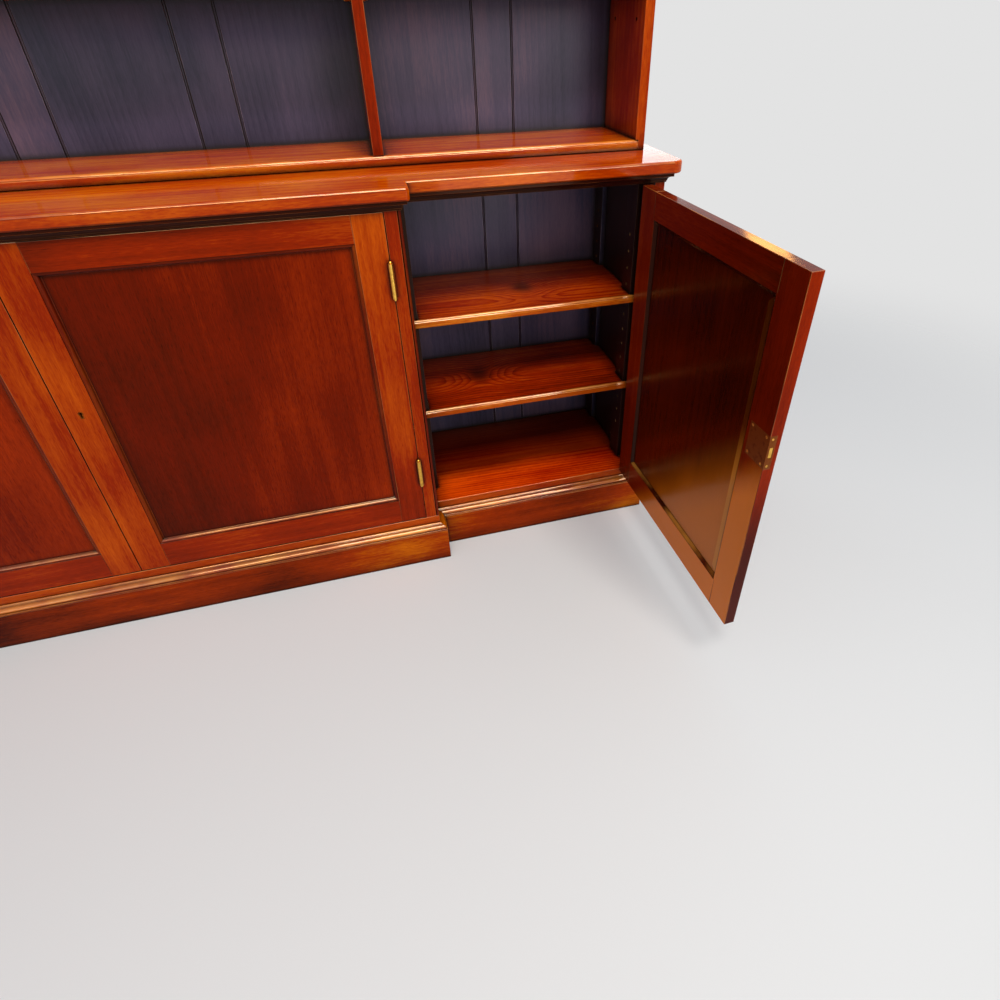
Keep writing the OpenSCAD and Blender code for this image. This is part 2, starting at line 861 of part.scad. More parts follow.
// Leaves that stay on the carcase, at a member whose edge is at x = 0 and whose face is at y = 0
module carcase_leaf_pair() {
    at_hinges()
        translate([-door_gap / 2, -pin_out, 0]) hinge_leaf(door_gap / 2, pin_out, 0);
}

module carcase_hinge_leaves() {
    color(brass)
        both_sides() {
            translate([end_in_x, front_w, 0]) carcase_leaf_pair();
            translate([half - stile_face_w, front_c, 0]) carcase_leaf_pair();
        }
}

// Leaves and pins that move with a door of width w
module door_hinges(w) {
    color(brass)
        for (z = hinge_zs)
            translate([w + door_gap / 2, -pin_in_door, z]) {
                mirror([1, 0, 0]) hinge_leaf(door_gap / 2, pin_in_door, 1);
                hinge_pin();
            }
}

// Doors: x runs from the free edge to the hinged edge, y from the front to the back

// Places a part of each door; the right wing's stands open about its hinge pins
module in_right_wing() {
    pin = [end_in_x - door_gap / 2, front_w - pin_out, 0];
    translate(pin)
        rotate([0, 0, rest_open])
            translate(-pin) translate([half + door_gap, wing_door_y, door_z0]) children();
}

module in_left_wing() {
    mirror([1, 0, 0]) translate([half + door_gap, wing_door_y, door_z0]) children();
}

module in_right_centre() {
    translate([door_gap / 2, centre_door_y, door_z0]) children();
}

module in_left_centre() {
    mirror([1, 0, 0]) in_right_centre() children();
}

// Section worked on the inner edge of a door's frame: x is the depth from the front and y the
// distance from the flat; an ovolo in front, the panel's groove, and a sunk bevel at the back.
// It reaches a little into the member that it is worked on
module stuck_section() {
    quirk = 1.2;
    ovolo_r = panel_sunk - 2;
    bevel_w = 8;
    bevel_d = 0.6;
    bevel_step = 1.2;
    rear = panel_sunk + door_panel_t;
    polygon(concat(
        [[quirk, -past], [quirk, groove_s]],
        arc(quirk + ovolo_r, groove_s, ovolo_r, 180, 90),
        [[quirk + ovolo_r, stuck_w], [panel_sunk, stuck_w], [panel_sunk, groove_s],
         [rear, groove_s], [rear, stuck_w], [rear + bevel_d, stuck_w],
         [door_t - bevel_step, stuck_w - bevel_w], [door_t, stuck_w - bevel_w], [door_t, -past]]
    ));
}

// Length of that section along +X, growing towards +Z, with both ends mitred
module stuck_run(len) {
    difference() {
        rotate([90, 0, 90]) linear_extrude(len) stuck_section();
        for (side = [0, 1])
            translate([side * len, 0, 0])
                mirror([side, 0, 0])
                    rotate([0, 45, 0]) translate([-far, -far / 2, -far / 2]) cube([far, far, far]);
    }
}

// Upright frame member, its inner edge turned to -X, with mortises for the rails
module door_stile() {
    difference() {
        union() {
            cube([stile_w, door_t, door_h]);
            translate([0, 0, bottom_rail_w]) rotate([0, -90, 0]) stuck_run(aperture_h);
        }
        translate([-past, tenon_y, tenon_haunch])
            cube([tenon_l + past, tenon_t, bottom_rail_w - tenon_haunch - tenon_shoulder]);
        translate([-past, tenon_y, door_h - top_rail_w + tenon_shoulder])
            cube([tenon_l + past, tenon_t, top_rail_w - tenon_haunch - tenon_shoulder]);
    }
}

module door_hinge_stile(w) {
    color(mahogany_lit)
        difference() {
            translate([w - stile_w, 0, 0]) door_stile();
            for (z = hinge_zs)
                translate([w, 0, z]) mirror([1, 0, 0]) leaf_recess();
        }
}

// Free stile, with its inner edge turned to +X
module free_stile() {
    translate([stile_w, 0, 0]) mirror([1, 0, 0]) door_stile();
}

module door_lock_stile() {
    color(mahogany_lit)
        difference() {
            free_stile();
            lock_envelope(past);
            translate([keyhole_x, lock_y, lock_z - keyhole_drop]) keyhole(lock_y + past);
            translate([keyhole_x, escutcheon_t, lock_z - keyhole_drop])
                rotate([90, 0, 0]) linear_extrude(escutcheon_t + past) escutcheon_outline();
        }
}

// Rail w long between the stiles, with a tenon at each end
module door_rail(w, rail_w) {
    between = w - 2 * stile_w;
    translate([stile_w, 0, 0]) {
        cube([between, door_t, rail_w]);
        translate([0, 0, rail_w]) stuck_run(between);
        translate([-tenon_l, tenon_y, tenon_haunch])
            cube([between + 2 * tenon_l, tenon_t, rail_w - tenon_haunch - tenon_shoulder]);
    }
}

module door_bottom_rail(w) {
    color(mahogany_lit) door_rail(w, bottom_rail_w);
}

module door_top_rail(w) {
    color(mahogany_lit)
        translate([0, 0, door_h]) mirror([0, 0, 1]) door_rail(w, top_rail_w);
}

module door_panel(w) {
    edge = groove_s + panel_ease;
    color(mahogany)
        translate([stile_w + edge, panel_sunk, bottom_rail_w + edge])
            cube([w - 2 * (stile_w + edge), door_panel_t, aperture_h - 2 * edge]);
}

// Locks

// What the lock fills in its stile, out past the wood's faces by over
module lock_envelope(over) {
    translate([-over, lock_y, lock_z - lock_h / 2])
        cube([selvage_t + over, door_t - lock_y + over, lock_h]);
    translate([-over, door_t - lock_plate_t, lock_z - lock_h / 2])
        cube([lock_w + over, lock_plate_t + over, lock_h]);
    translate([0, lock_y, lock_z - lock_case_h / 2]) cube([lock_case_w, door_t - lock_y, lock_case_h]);
}

// Keyhole through depth towards the front, from y = 0
module keyhole(depth) {
    rotate([90, 0, 0]) linear_extrude(depth) keyhole_outline();
}

module keyhole_outline() {
    circle(keyhole_r);
    translate([-keyhole_slot_w / 2, -keyhole_slot_l]) square([keyhole_slot_w, keyhole_slot_l]);
}

module escutcheon_outline() {
    side = keyhole_slot_w / 2 + escutcheon_rim;
    circle(keyhole_r + escutcheon_rim);
    drop = keyhole_slot_l + escutcheon_rim;
    translate([-side, -drop]) square([2 * side, drop]);
}

// Lock body with its bolt's channel and keyhole, and the keyhole's liner in the front
module door_lock() {
    channel = lock_bolt_l + lock_bolt_set + slide_clear;
    color(brass) {
        difference() {
            lock_envelope(0);
            translate([-past, lock_bolt_y - slide_clear, lock_z - lock_bolt_h / 2 - slide_clear])
                cube([channel + past, lock_bolt_t + 2 * slide_clear, lock_bolt_h + 2 * slide_clear]);
            translate([keyhole_x, lock_bolt_y, lock_z - keyhole_drop]) keyhole(lock_bolt_y - lock_y + past);
        }
        translate([keyhole_x, escutcheon_t, lock_z - keyhole_drop])
            rotate([90, 0, 0])
                linear_extrude(escutcheon_t)
                    difference() {
                        escutcheon_outline();
                        keyhole_outline();
                    }
    }
}

module door_lock_bolt() {
    color(brass)
        translate([lock_bolt_set, lock_bolt_y, lock_z - lock_bolt_h / 2])
            cube([lock_bolt_l, lock_bolt_t, lock_bolt_h]);
}

// Slip bolts of the left middle door: the upper one, from the stile's top downwards

// Groove for the rod and its knob, the plate's recess and the bore at the end
module slip_recess() {
    slot = slip_d + 1;
    plate_z = door_h - slip_plate_in - slip_l;
    translate([slip_x - slot / 2, slip_y - slot / 2, plate_z + slip_plate_in])
        cube([slot, door_t - slip_y + slot / 2 + past, slip_l - 2 * slip_plate_in]);
    translate([slip_x - slip_plate_w / 2, door_t - slip_plate_t, plate_z])
        cube([slip_plate_w, slip_plate_t + past, slip_l]);
    translate([slip_x, slip_y, plate_z + slip_l / 2]) cylinder(d = slot, h = slip_l);
}

module slip_plate() {
    knob_z = door_h - slip_knob_in;
    slot = 2 * slip_knob_r + 1;
    difference() {
        translate([slip_x - slip_plate_w / 2, door_t - slip_plate_t, door_h - slip_plate_in - slip_l])
            cube([slip_plate_w, slip_plate_t, slip_l]);
        translate([slip_x - slot / 2, door_t - slip_plate_t - past, knob_z - slot / 2])
            cube([slot, slip_plate_t + 2 * past, slot + slip_throw]);
    }
}

module slip_bolt() {
    knob_l = door_t - slip_y + 5;
    translate([slip_x, slip_y, door_h - slip_set - slip_rod_l]) cylinder(d = slip_d, h = slip_rod_l);
    translate([slip_x, slip_y, door_h - slip_knob_in])
        rotate([-90, 0, 0]) {
            cylinder(r = slip_knob_r, h = knob_l);
            translate([0, 0, knob_l]) cylinder(r = slip_knob_r + 1.2, h = 2.5);
        }
}

// Turns the upper bolt's parts over for the lower one
module turned_over() {
    translate([0, 0, door_h]) mirror([0, 0, 1]) children();
}

module left_centre_door_meeting_stile() {
    color(mahogany_lit)
        in_left_centre()
            difference() {
                free_stile();
                lock_mortise();
                slip_recess();
                turned_over() slip_recess();
            }
}

module left_centre_door_slip_bolt_plates() {
    color(brass)
        in_left_centre() {
            slip_plate();
            turned_over() slip_plate();
        }
}

module left_centre_door_top_bolt() {
    color(brass) in_left_centre() slip_bolt();
}

module left_centre_door_bottom_bolt() {
    color(brass) in_left_centre() turned_over() slip_bolt();
}

// Right wing door

module right_wing_door_hinge_stile() {
    in_right_wing() door_hinge_stile(wing_door_w);
}

module right_wing_door_lock_stile() {
    in_right_wing() door_lock_stile();
}

module right_wing_door_top_rail() {
    in_right_wing() door_top_rail(wing_door_w);
}

module right_wing_door_bottom_rail() {
    in_right_wing() door_bottom_rail(wing_door_w);
}

module right_wing_door_panel() {
    in_right_wing() door_panel(wing_door_w);
}

module right_wing_door_hinges() {
    in_right_wing() door_hinges(wing_door_w);
}

module right_wing_door_lock() {
    in_right_wing() door_lock();
}

module right_wing_door_lock_bolt() {
    in_right_wing() door_lock_bolt();
}

// Left wing door

module left_wing_door_hinge_stile() {
    in_left_wing() door_hinge_stile(wing_door_w);
}

module left_wing_door_lock_stile() {
    in_left_wing() door_lock_stile();
}

module left_wing_door_top_rail() {
    in_left_wing() door_top_rail(wing_door_w);
}

module left_wing_door_bottom_rail() {
    in_left_wing() door_bottom_rail(wing_door_w);
}

module left_wing_door_panel() {
    in_left_wing() door_panel(wing_door_w);
}

module left_wing_door_hinges() {
    in_left_wing() door_hinges(wing_door_w);
}

module left_wing_door_lock() {
    in_left_wing() door_lock();
}

module left_wing_door_lock_bolt() {
    in_left_wing() door_lock_bolt();
}

// Right middle door

module right_centre_door_hinge_stile() {
    in_right_centre() door_hinge_stile(centre_door_w);
}

module right_centre_door_lock_stile() {
    in_right_centre() door_lock_stile();
}

module right_centre_door_top_rail() {
    in_right_centre() door_top_rail(centre_door_w);
}

module right_centre_door_bottom_rail() {
    in_right_centre() door_bottom_rail(centre_door_w);
}

module right_centre_door_panel() {
    in_right_centre() door_panel(centre_door_w);
}

module right_centre_door_hinges() {
    in_right_centre() door_hinges(centre_door_w);
}

module right_centre_door_lock() {
    in_right_centre() door_lock();
}

module right_centre_door_lock_bolt() {
    in_right_centre() door_lock_bolt();
}

// Left middle door

module left_centre_door_hinge_stile() {
    in_left_centre() door_hinge_stile(centre_door_w);
}

module left_centre_door_top_rail() {
    in_left_centre() door_top_rail(centre_door_w);
}

module left_centre_door_bottom_rail() {
    in_left_centre() door_bottom_rail(centre_door_w);
}

module left_centre_door_panel() {
    in_left_centre() door_panel(centre_door_w);
}

module left_centre_door_hinges() {
    in_left_centre() door_hinges(centre_door_w);
}

// Nodes

plinth_front_boards();
plinth_side_boards();
plinth_inner_rails();
plinth_moulding();
base_floor_boards();
base_end_panels();
base_divisions();
base_centre_stiles();
base_top_rails();
base_back_boards();
base_top();
bed_moulding();
shelf_uprights();
shelf_pegs();
wing_shelves();
centre_shelves();
upper_bottom_board();
upper_end_panels();
upper_divisions();
upper_top_board();
upper_back_boards();
frieze_rail();
cornice_moulding();
upper_wing_shelves();
upper_centre_shelves();
carcase_hinge_leaves();
right_wing_door_hinge_stile();
right_wing_door_lock_stile();
right_wing_door_top_rail();
right_wing_door_bottom_rail();
right_wing_door_panel();
right_wing_door_hinges();
right_wing_door_lock();
right_wing_door_lock_bolt();
left_wing_door_hinge_stile();
left_wing_door_lock_stile();
left_wing_door_top_rail();
left_wing_door_bottom_rail();
left_wing_door_panel();
left_wing_door_hinges();
left_wing_door_lock();
left_wing_door_lock_bolt();
right_centre_door_hinge_stile();
right_centre_door_lock_stile();
right_centre_door_top_rail();
right_centre_door_bottom_rail();
right_centre_door_panel();
right_centre_door_hinges();
right_centre_door_lock();
right_centre_door_lock_bolt();
left_centre_door_hinge_stile();
left_centre_door_meeting_stile();
left_centre_door_top_rail();
left_centre_door_bottom_rail();
left_centre_door_panel();
left_centre_door_hinges();
left_centre_door_slip_bolt_plates();
left_centre_door_top_bolt();
left_centre_door_bottom_bolt();
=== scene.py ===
"""A breakfront bookcase in French-polished mahogany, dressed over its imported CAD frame.

Each CAD node's boards are taken over with eased arrises and a grain of their own, then given
procedural finishes: polished mahogany, stained pine and worn brass. Screws are added to the
hinges, locks and bolts. Metres throughout, in the CAD model's own frame.
"""

from __future__ import annotations

import json
import logging
import math
import random
from dataclasses import dataclass, field
from enum import Enum
from functools import cache, partial
from typing import Callable

import bmesh
import bpy
from mathutils import Euler, Matrix, Vector

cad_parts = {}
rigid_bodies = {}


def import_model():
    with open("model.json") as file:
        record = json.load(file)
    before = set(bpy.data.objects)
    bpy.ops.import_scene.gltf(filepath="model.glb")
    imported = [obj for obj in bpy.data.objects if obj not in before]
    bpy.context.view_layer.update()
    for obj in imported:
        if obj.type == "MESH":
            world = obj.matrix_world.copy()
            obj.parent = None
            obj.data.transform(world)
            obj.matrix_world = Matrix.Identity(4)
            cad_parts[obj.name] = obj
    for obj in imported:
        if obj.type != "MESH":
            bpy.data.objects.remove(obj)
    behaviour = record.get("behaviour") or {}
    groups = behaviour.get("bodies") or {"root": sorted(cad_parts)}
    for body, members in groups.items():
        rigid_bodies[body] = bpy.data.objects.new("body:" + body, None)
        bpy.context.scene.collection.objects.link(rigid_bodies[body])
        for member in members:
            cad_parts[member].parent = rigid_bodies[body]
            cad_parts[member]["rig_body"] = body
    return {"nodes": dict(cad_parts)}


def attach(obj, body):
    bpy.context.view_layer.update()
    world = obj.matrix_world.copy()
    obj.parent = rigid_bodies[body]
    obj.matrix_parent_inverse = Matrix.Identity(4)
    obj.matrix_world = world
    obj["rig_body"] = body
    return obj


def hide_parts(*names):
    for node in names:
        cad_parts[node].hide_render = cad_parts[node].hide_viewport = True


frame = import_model()
LOG = logging.getLogger("bookcase")

MM = 0.001
Pair = tuple[float, float]
Triple = tuple[float, float, float]
Source = bpy.types.Node | bpy.types.NodeSocket  # what a node's input can be linked to
Adder = Callable[..., bpy.types.Node]  # add_node for one tree


# Objects, colours and nodes


def put(name: str, data: bpy.types.ID) -> bpy.types.Object:
    """Puts an object in the scene.

    Args:
        name: Its name.
        data: Its mesh, lamp or camera.

    Returns:
        The new object.
    """
    thing = bpy.data.objects.new(name, data)
    bpy.context.scene.collection.objects.link(thing)
    return thing


def linear(code: str) -> tuple[float, float, float, float]:
    """Turns an sRGB hex colour to linear light.

    Args:
        code: The colour as six hex digits, with or without a leading hash.

    Returns:
        Linear red, green, blue and an alpha of 1.
    """
    code = code.lstrip("#")
    parts = [int(code[i:i + 2], 16) / 255 for i in (0, 2, 4)]
    return tuple(c / 12.92 if c <= 0.04045 else ((c + 0.055) / 1.055) ** 2.4 for c in parts) + (1.0,)


def add_node(tree: bpy.types.NodeTree, kind: str, inputs: dict | tuple = (), operation: str | None = None,
             **settings) -> bpy.types.Node:
    """Adds a node with its settings, values and links.

    Args:
        tree: The node tree that gets the node.
        kind: The node's class name after ShaderNode.
        inputs: What the inputs take, in order or by name or number: a value, another node's
            output, or a node, which stands for its first output in use.
        operation: What a math node does.
        **settings: The node's other settings, such as samples=6.

    Returns:
        The new node.
    """
    node = tree.nodes.new("ShaderNode" + kind)
    if operation:
        node.operation = operation
    for name, value in settings.items():
        setattr(node, name, value)
    for key, value in inputs.items() if isinstance(inputs, dict) else enumerate(inputs):
        if isinstance(value, bpy.types.Node):
            value = next(output for output in value.outputs if output.enabled)
        if isinstance(value, bpy.types.NodeSocket):
            tree.links.new(value, node.inputs[key])
        else:
            node.inputs[key].default_value = value
    return node


def node_adder(owner: bpy.types.Material | bpy.types.World) -> Adder:
    """Clears the nodes of a material or a world.

    Args:
        owner: The material or world.

    Returns:
        The function add_node for its tree.
    """
    owner.use_nodes = True
    owner.node_tree.nodes.clear()
    return partial(add_node, owner.node_tree)


# Finishes


@dataclass(frozen=True)
class Noise:
    """A noise in the wood, its features per metre along, across and through the board."""

    scale: Triple
    detail: float = 2.0
    rough: float = 0.5


NOISES = {
    "drift": Noise((1.6, 5.0, 5.0)),  # sideways wandering of the grain
    "uneven": Noise((0.8, 25.0, 25.0), 1.0),  # rings of uneven width
    "streak": Noise((2.2, 95.0, 60.0), 4.0, 0.6),
    "fibre": Noise((50.0, 460.0, 300.0), 3.0, 0.65),
    "mottle": Noise((3.5, 7.0, 5.0)),
    # Pores are 0.2 mm wide in the real wood; these are about 1 mm, the finest that shows.
    "pore": Noise((55.0, 950.0, 600.0), 1.0),
    "rub": Noise((9.0, 9.0, 9.0), 3.0),  # where hands have rubbed the arrises, and the patches of painted highlight on mouldings
    "ragged": Noise((5.0, 9.0, 9.0), 3.0),  # the uneven line where painted light or shade begins
    "cloud": Noise((7.0, 14.0, 10.0), 3.0),  # duller and brighter polish
    "ripple": Noise((5.0, 22.0, 10.0), 1.0),  # waves in the polish
}
# What the boards carry, vectors and numbers at their vertices and marks on their faces
VECTORS, NUMBERS, MARKS = ("board", "seed", "knot"), ("tone", "fade"), ("arris", "moulded")

SMOOTH = {"interpolation_type": "SMOOTHSTEP"}
UNEVEN_RINGS = 1.6  # how many rings the uneven noise moves them by
LATE_WOOD_ENDS = 0.86  # share of a ring's width
CONTRAST = 2.4  # of streaks, fibres and mottling
PORE_EDGE = (0.60, 0.74)  # the noise at a pore's edge and at its floor
RAMP_ENDS = (0.05, 0.95)  # how pale the wood is at its dark and at its light colour
KNOT_SHAPE = (0.8, 0.62, 0.0)  # a knot is longer across the board than along it
KNOT_SWELL, KNOT_FALL = 0.035, -0.16  # how far a knot pushes the rings out, and how that fades
KNOT_CORE = (0.2, 1.7, 0.72, 0.0)  # from and to so many radii, as dark as this and as that
RAGGED = 50 * MM  # width of the strip that the fade line wanders in
RUBBED, FACES_UP, FACES_DOWN = (0.35, 0.7), (0.45, 1.0), (-0.3, -1.0)  # values where that begins and is full: rubbed patches, painted highlight on moulding faces that look up, painted shade on those that don't
CREASE_DIRT_AND_SHADE, PAINTED_SHADE_REACH = (12 * MM, 0.55), 60 * MM  # reach of the dirt and painted shade in creases and the share of open air where it is thickest, and reach of the broader painted shade
OPEN_AIR = 0.98  # share of open air from which nothing is darkened
FIBRE_RISE, PORE_FALL, GRAIN_HIGH, RIPPLE_HIGH = 0.5, -0.6, 0.12 * MM, 0.6 * MM
MOULDED_ROUGH = 0.55  # share of its roughness that a rubbed moulding keeps
# Tints of knots, of the painted highlight on mouldings, of the painted shade under them, and of dirt with
# painted shade in creases
KNOT_TINT, PAINTED_HIGHLIGHT_TINT, PAINTED_SHADE_TINT, DIRT_AND_SHADE_TINT = "#1c0803", "#f0a040", "#1e0606", "#120503"


@dataclass(frozen=True)
class WoodFinish:
    """A polished or stained wood whose grain follows each board.

    The boards carry board, the place in metres along, across and through the board; seed, an
    offset of its own; knot, a knot's place and radius; tone, how pale it is, with a painted light
    slope on some boards; fade, how far a point lies past the line where painted light or shade
    begins; arris, 1 on an eased edge; and moulded, 1 on a moulding's faces that look up and -1 on
    those that don't.
    """

    name: str
    dark: str
    mid: str
    light: str
    ring: float = 14 * MM  # spacing of the growth rings
    ring_strength: float = 0.08
    ring_sharp: float = 2.0
    taper: float = 0.012  # slope of the rings along the board, which draws the arches
    pith: float = 60 * MM  # depth of the heart below the board
    wander: float = 9 * MM  # how far the grain wanders sideways
    streak: float = 0.35
    fleck: float = 0.2
    pore: float = 0.3
    mottle: float = 0.25
    knots: bool = False
    tone_spread: float = 0.16
    edge: str = "#d0793a"
    edge_wear_and_sheen: float = 0.55
    crease_dirt_and_shade: float = 0.95  # dirt and painted shade in quirks and joints
    shade: float = 0.5  # painted shade for a few centimetres beside them
    shade_from: float = 0.45  # share of open air at which it is darkest
    rough: float = 0.17
    rough_spread: float = 0.06
    relief: float = 0.2
    ripple: float = 0.12
    shine: float = 0.12
    shine_tint: str = "#ffc890"
    coat: float = 0.03
    coat_rough: float = 0.05
    moulded_shine: float = 1.0
    moulded_coat: float = 0.8
    moulded_highlight: float = 0.6  # how strong the golden painted highlight on mouldings is where they face up
    moulded_shade: float = 0.55  # and how strong their painted shade is where they don't
    painted_light_tint: str | None = None  # colour painted past the piece's fade line: a painted reflection, shadow or shade
    fade_soft: float = 120 * MM
    fade_most: float = 0.85

    def build(self) -> bpy.types.Material:
        """Makes the material.

        Returns:
            The new material.
        """
        material = bpy.data.materials.new(self.name)
        add = node_adder(material)
        wanted = {"knot": self.knots, "fade": self.painted_light_tint, "ragged": self.painted_light_tint}  # and always the rest
        given = {name: add("Attribute", attribute_name=name).outputs["Vector" if name in VECTORS else "Fac"]
                 for name in (*VECTORS, *NUMBERS, *MARKS) if wanted.get(name, True)}
        place = add("VectorMath", (given["board"], given["seed"]), "ADD")
        for name, noise in NOISES.items():
            if wanted.get(name, True):
                spot = add("VectorMath", (place, noise.scale), "MULTIPLY")
                given[name] = add("TexNoise", {
                    "Vector": spot, "Scale": 1.0, "Detail": noise.detail, "Roughness": noise.rough})
        given["pore"] = add("MapRange", (given["pore"], *PORE_EDGE), **SMOOTH)
        pale, core = self._grain(add, given)
        colour = add("ValToRGB", (pale,))
        ramp = colour.color_ramp.elements
        for stop, position, tint in zip(ramp, RAMP_ENDS, (self.dark, self.light)):
            stop.position, stop.color = position, linear(tint)
        ramp.new(0.5).color = linear(self.mid)
        for share, tint in self._layers(add, given, core):
            colour = add("Mix", {0: share, 6: colour, 7: linear(tint)}, data_type="RGBA")
        self._surface(add, given, colour)
        return material

    def _grain(self, add: Adder, given: dict[str, Source]) -> tuple[Source, Source | None]:
        """Growth rings that turn round the knots, streaks, fibres, mottling and pores.

        Args:
            add: Adds a node to the material.
            given: What the boards carry, and the noises, by name.

        Returns:
            How pale the wood is, and how far a point is inside a knot if there are knots.
        """
        drift = given["drift"].outputs["Color"]
        drift = add("VectorMath", (drift, (0.5, 0.5, 0.5)), "SUBTRACT")
        drift = add("VectorMath", (drift, (0.0, 2 * self.wander, self.wander)), "MULTIPLY")
        bent = add("VectorMath", (given["board"], drift), "ADD")
        x, y, z = add("SeparateXYZ", (bent,)).outputs
        across = add("Math", (x, self.taper, y), "MULTIPLY_ADD")
        deep = add("Math", (z, self.pith), "ADD")
        heart = add("CombineXYZ", (across, deep))
        radius, core = add("VectorMath", (heart,), "LENGTH"), None
        if self.knots:
            size = add("SeparateXYZ", (given["knot"],)).outputs[2]
            away = add("VectorMath", (bent, given["knot"]), "SUBTRACT")
            away = add("VectorMath", (away, KNOT_SHAPE), "MULTIPLY")
            near = add("Math", (add("VectorMath", (away,), "LENGTH"), size), "DIVIDE")
            swell = add("Math", (near, near), "MULTIPLY")
            swell = add("Math", (add("Math", (swell, KNOT_FALL), "MULTIPLY"),), "EXPONENT")
            radius = add("Math", (swell, KNOT_SWELL, radius), "MULTIPLY_ADD")
            core = add("MapRange", (near, *KNOT_CORE), **SMOOTH)
        turns = add("Math", (radius, self.ring), "DIVIDE")
        turns = add("Math", (given["uneven"], UNEVEN_RINGS, turns), "MULTIPLY_ADD")
        turns = add("Math", (turns,), "FRACT")
        late = add("Math", (turns, self.ring_sharp), "POWER")
        fall = add("MapRange", (turns, LATE_WOOD_ENDS, 1.0, 1.0, 0.0), **SMOOTH)
        late = add("Math", (late, fall), "MULTIPLY")
        pale = 0.5 - CONTRAST / 2 * (self.streak + self.fleck + self.mottle)
        for source, amount in (
            (given["tone"], self.tone_spread), (given["streak"], CONTRAST * self.streak),
            (given["fibre"], CONTRAST * self.fleck), (given["mottle"], CONTRAST * self.mottle),
            (late, -self.ring_strength), (given["pore"], -self.pore / 2),
        ):
            pale = add("Math", (source, amount, pale), "MULTIPLY_ADD")
        return pale, core

    def _layers(self, add: Adder, given: dict[str, Source], core: Source | None) -> list[tuple[Source, str]]:
        """What lies over the grain: knots, painted light and shade past the fade line, worn arrises,
        painted highlight and shade on mouldings, and dirt with painted shade in creases.

        Args:
            add: Adds a node to the material.
            given: What the boards carry, and the noises, by name.
            core: How far a point is inside a knot, if there are knots.

        Returns:
            How much there is of each layer, and its colour, from the lowest up.
        """
        layers = [(core, KNOT_TINT)] if core else []
        # Past the fade line each finish paints its own light: a painted reflection at the foot of the open
        # door's inside, painted shade at the foot of its free edge, a painted shadow over the back of the
        # cupboards' floor
        if self.painted_light_tint:
            past = add("Math", (given["ragged"], RAGGED, given["fade"]), "MULTIPLY_ADD")
            ends = (RAGGED / 2, RAGGED / 2 + self.fade_soft)
            layers.append((add("MapRange", (past, *ends, 0.0, self.fade_most), **SMOOTH), self.painted_light_tint))
        rubbed = add("MapRange", (given["rub"], *RUBBED), **SMOOTH)
        # Worn arrises, paler where rubbed; on the pine shelves the pale arrises are also a painted highlight
        worn = add("Math", (given["arris"], rubbed), "MULTIPLY")
        worn = add("Math", (worn, self.edge_wear_and_sheen), "MULTIPLY")
        # Painted highlight on moulding faces that look up, in patches; painted shade on those that don't
        painted_highlight = add("MapRange", (given["moulded"], *FACES_UP, 0.0, self.moulded_highlight), **SMOOTH)
        painted_highlight = add("Math", (painted_highlight, rubbed), "MULTIPLY")
        painted_moulding_shade = add("MapRange", (given["moulded"], *FACES_DOWN, 0.0, self.moulded_shade), **SMOOTH)
        layers += [(worn, self.edge), (painted_highlight, PAINTED_HIGHLIGHT_TINT), (painted_moulding_shade, PAINTED_SHADE_TINT)]
        # Dirt and painted shade in quirks and creases, then a broader painted shade beside them, both darkest
        # where least open air reaches
        for reach, least, most in ((*CREASE_DIRT_AND_SHADE, self.crease_dirt_and_shade), (PAINTED_SHADE_REACH, self.shade_from, self.shade)):
            air = add("AmbientOcclusion", {"Distance": reach}, samples=6).outputs["AO"]
            layers.append((add("MapRange", (air, least, OPEN_AIR, most, 0.0), **SMOOTH), DIRT_AND_SHADE_TINT))
        return layers

    def _surface(self, add: Adder, given: dict[str, Source], colour: Source) -> None:
        """Joins colour, relief and polish to the shader.

        Args:
            add: Adds a node to the material.
            given: What the boards carry, and the noises, by name.
            colour: The surface colour.
        """
        height = add("Math", (given["pore"], PORE_FALL), "MULTIPLY")
        height = add("Math", (given["fibre"], FIBRE_RISE, height), "MULTIPLY_ADD")
        waves = add("Bump", {"Height": given["ripple"], "Strength": self.ripple, "Distance": RIPPLE_HIGH})
        grain = {"Height": height, "Strength": self.relief, "Distance": GRAIN_HIGH}
        normal = add("Bump", {**grain, "Normal": waves})
        spread = (2 * self.rough_spread, self.rough - self.rough_spread)
        rough = add("Math", (given["cloud"], *spread), "MULTIPLY_ADD")
        shine, coat, kept = (
            add("MapRange", (given["moulded"], 0.0, 1.0, *ends), **SMOOTH)
            for ends in ((self.shine, max(self.shine, self.moulded_shine)),
                         (self.coat, max(self.coat, self.moulded_coat)), (1.0, MOULDED_ROUGH)))
        shader = add("BsdfPrincipled", {
            "Base Color": colour, "Roughness": add("Math", (rough, kept), "MULTIPLY"),
            "Normal": normal, "IOR": 1.5, "Coat IOR": 1.5, "Coat Roughness": self.coat_rough,
            "Specular Tint": linear(self.shine_tint), "Specular IOR Level": shine, "Coat Weight": coat})
        add("OutputMaterial", {"Surface": shader})


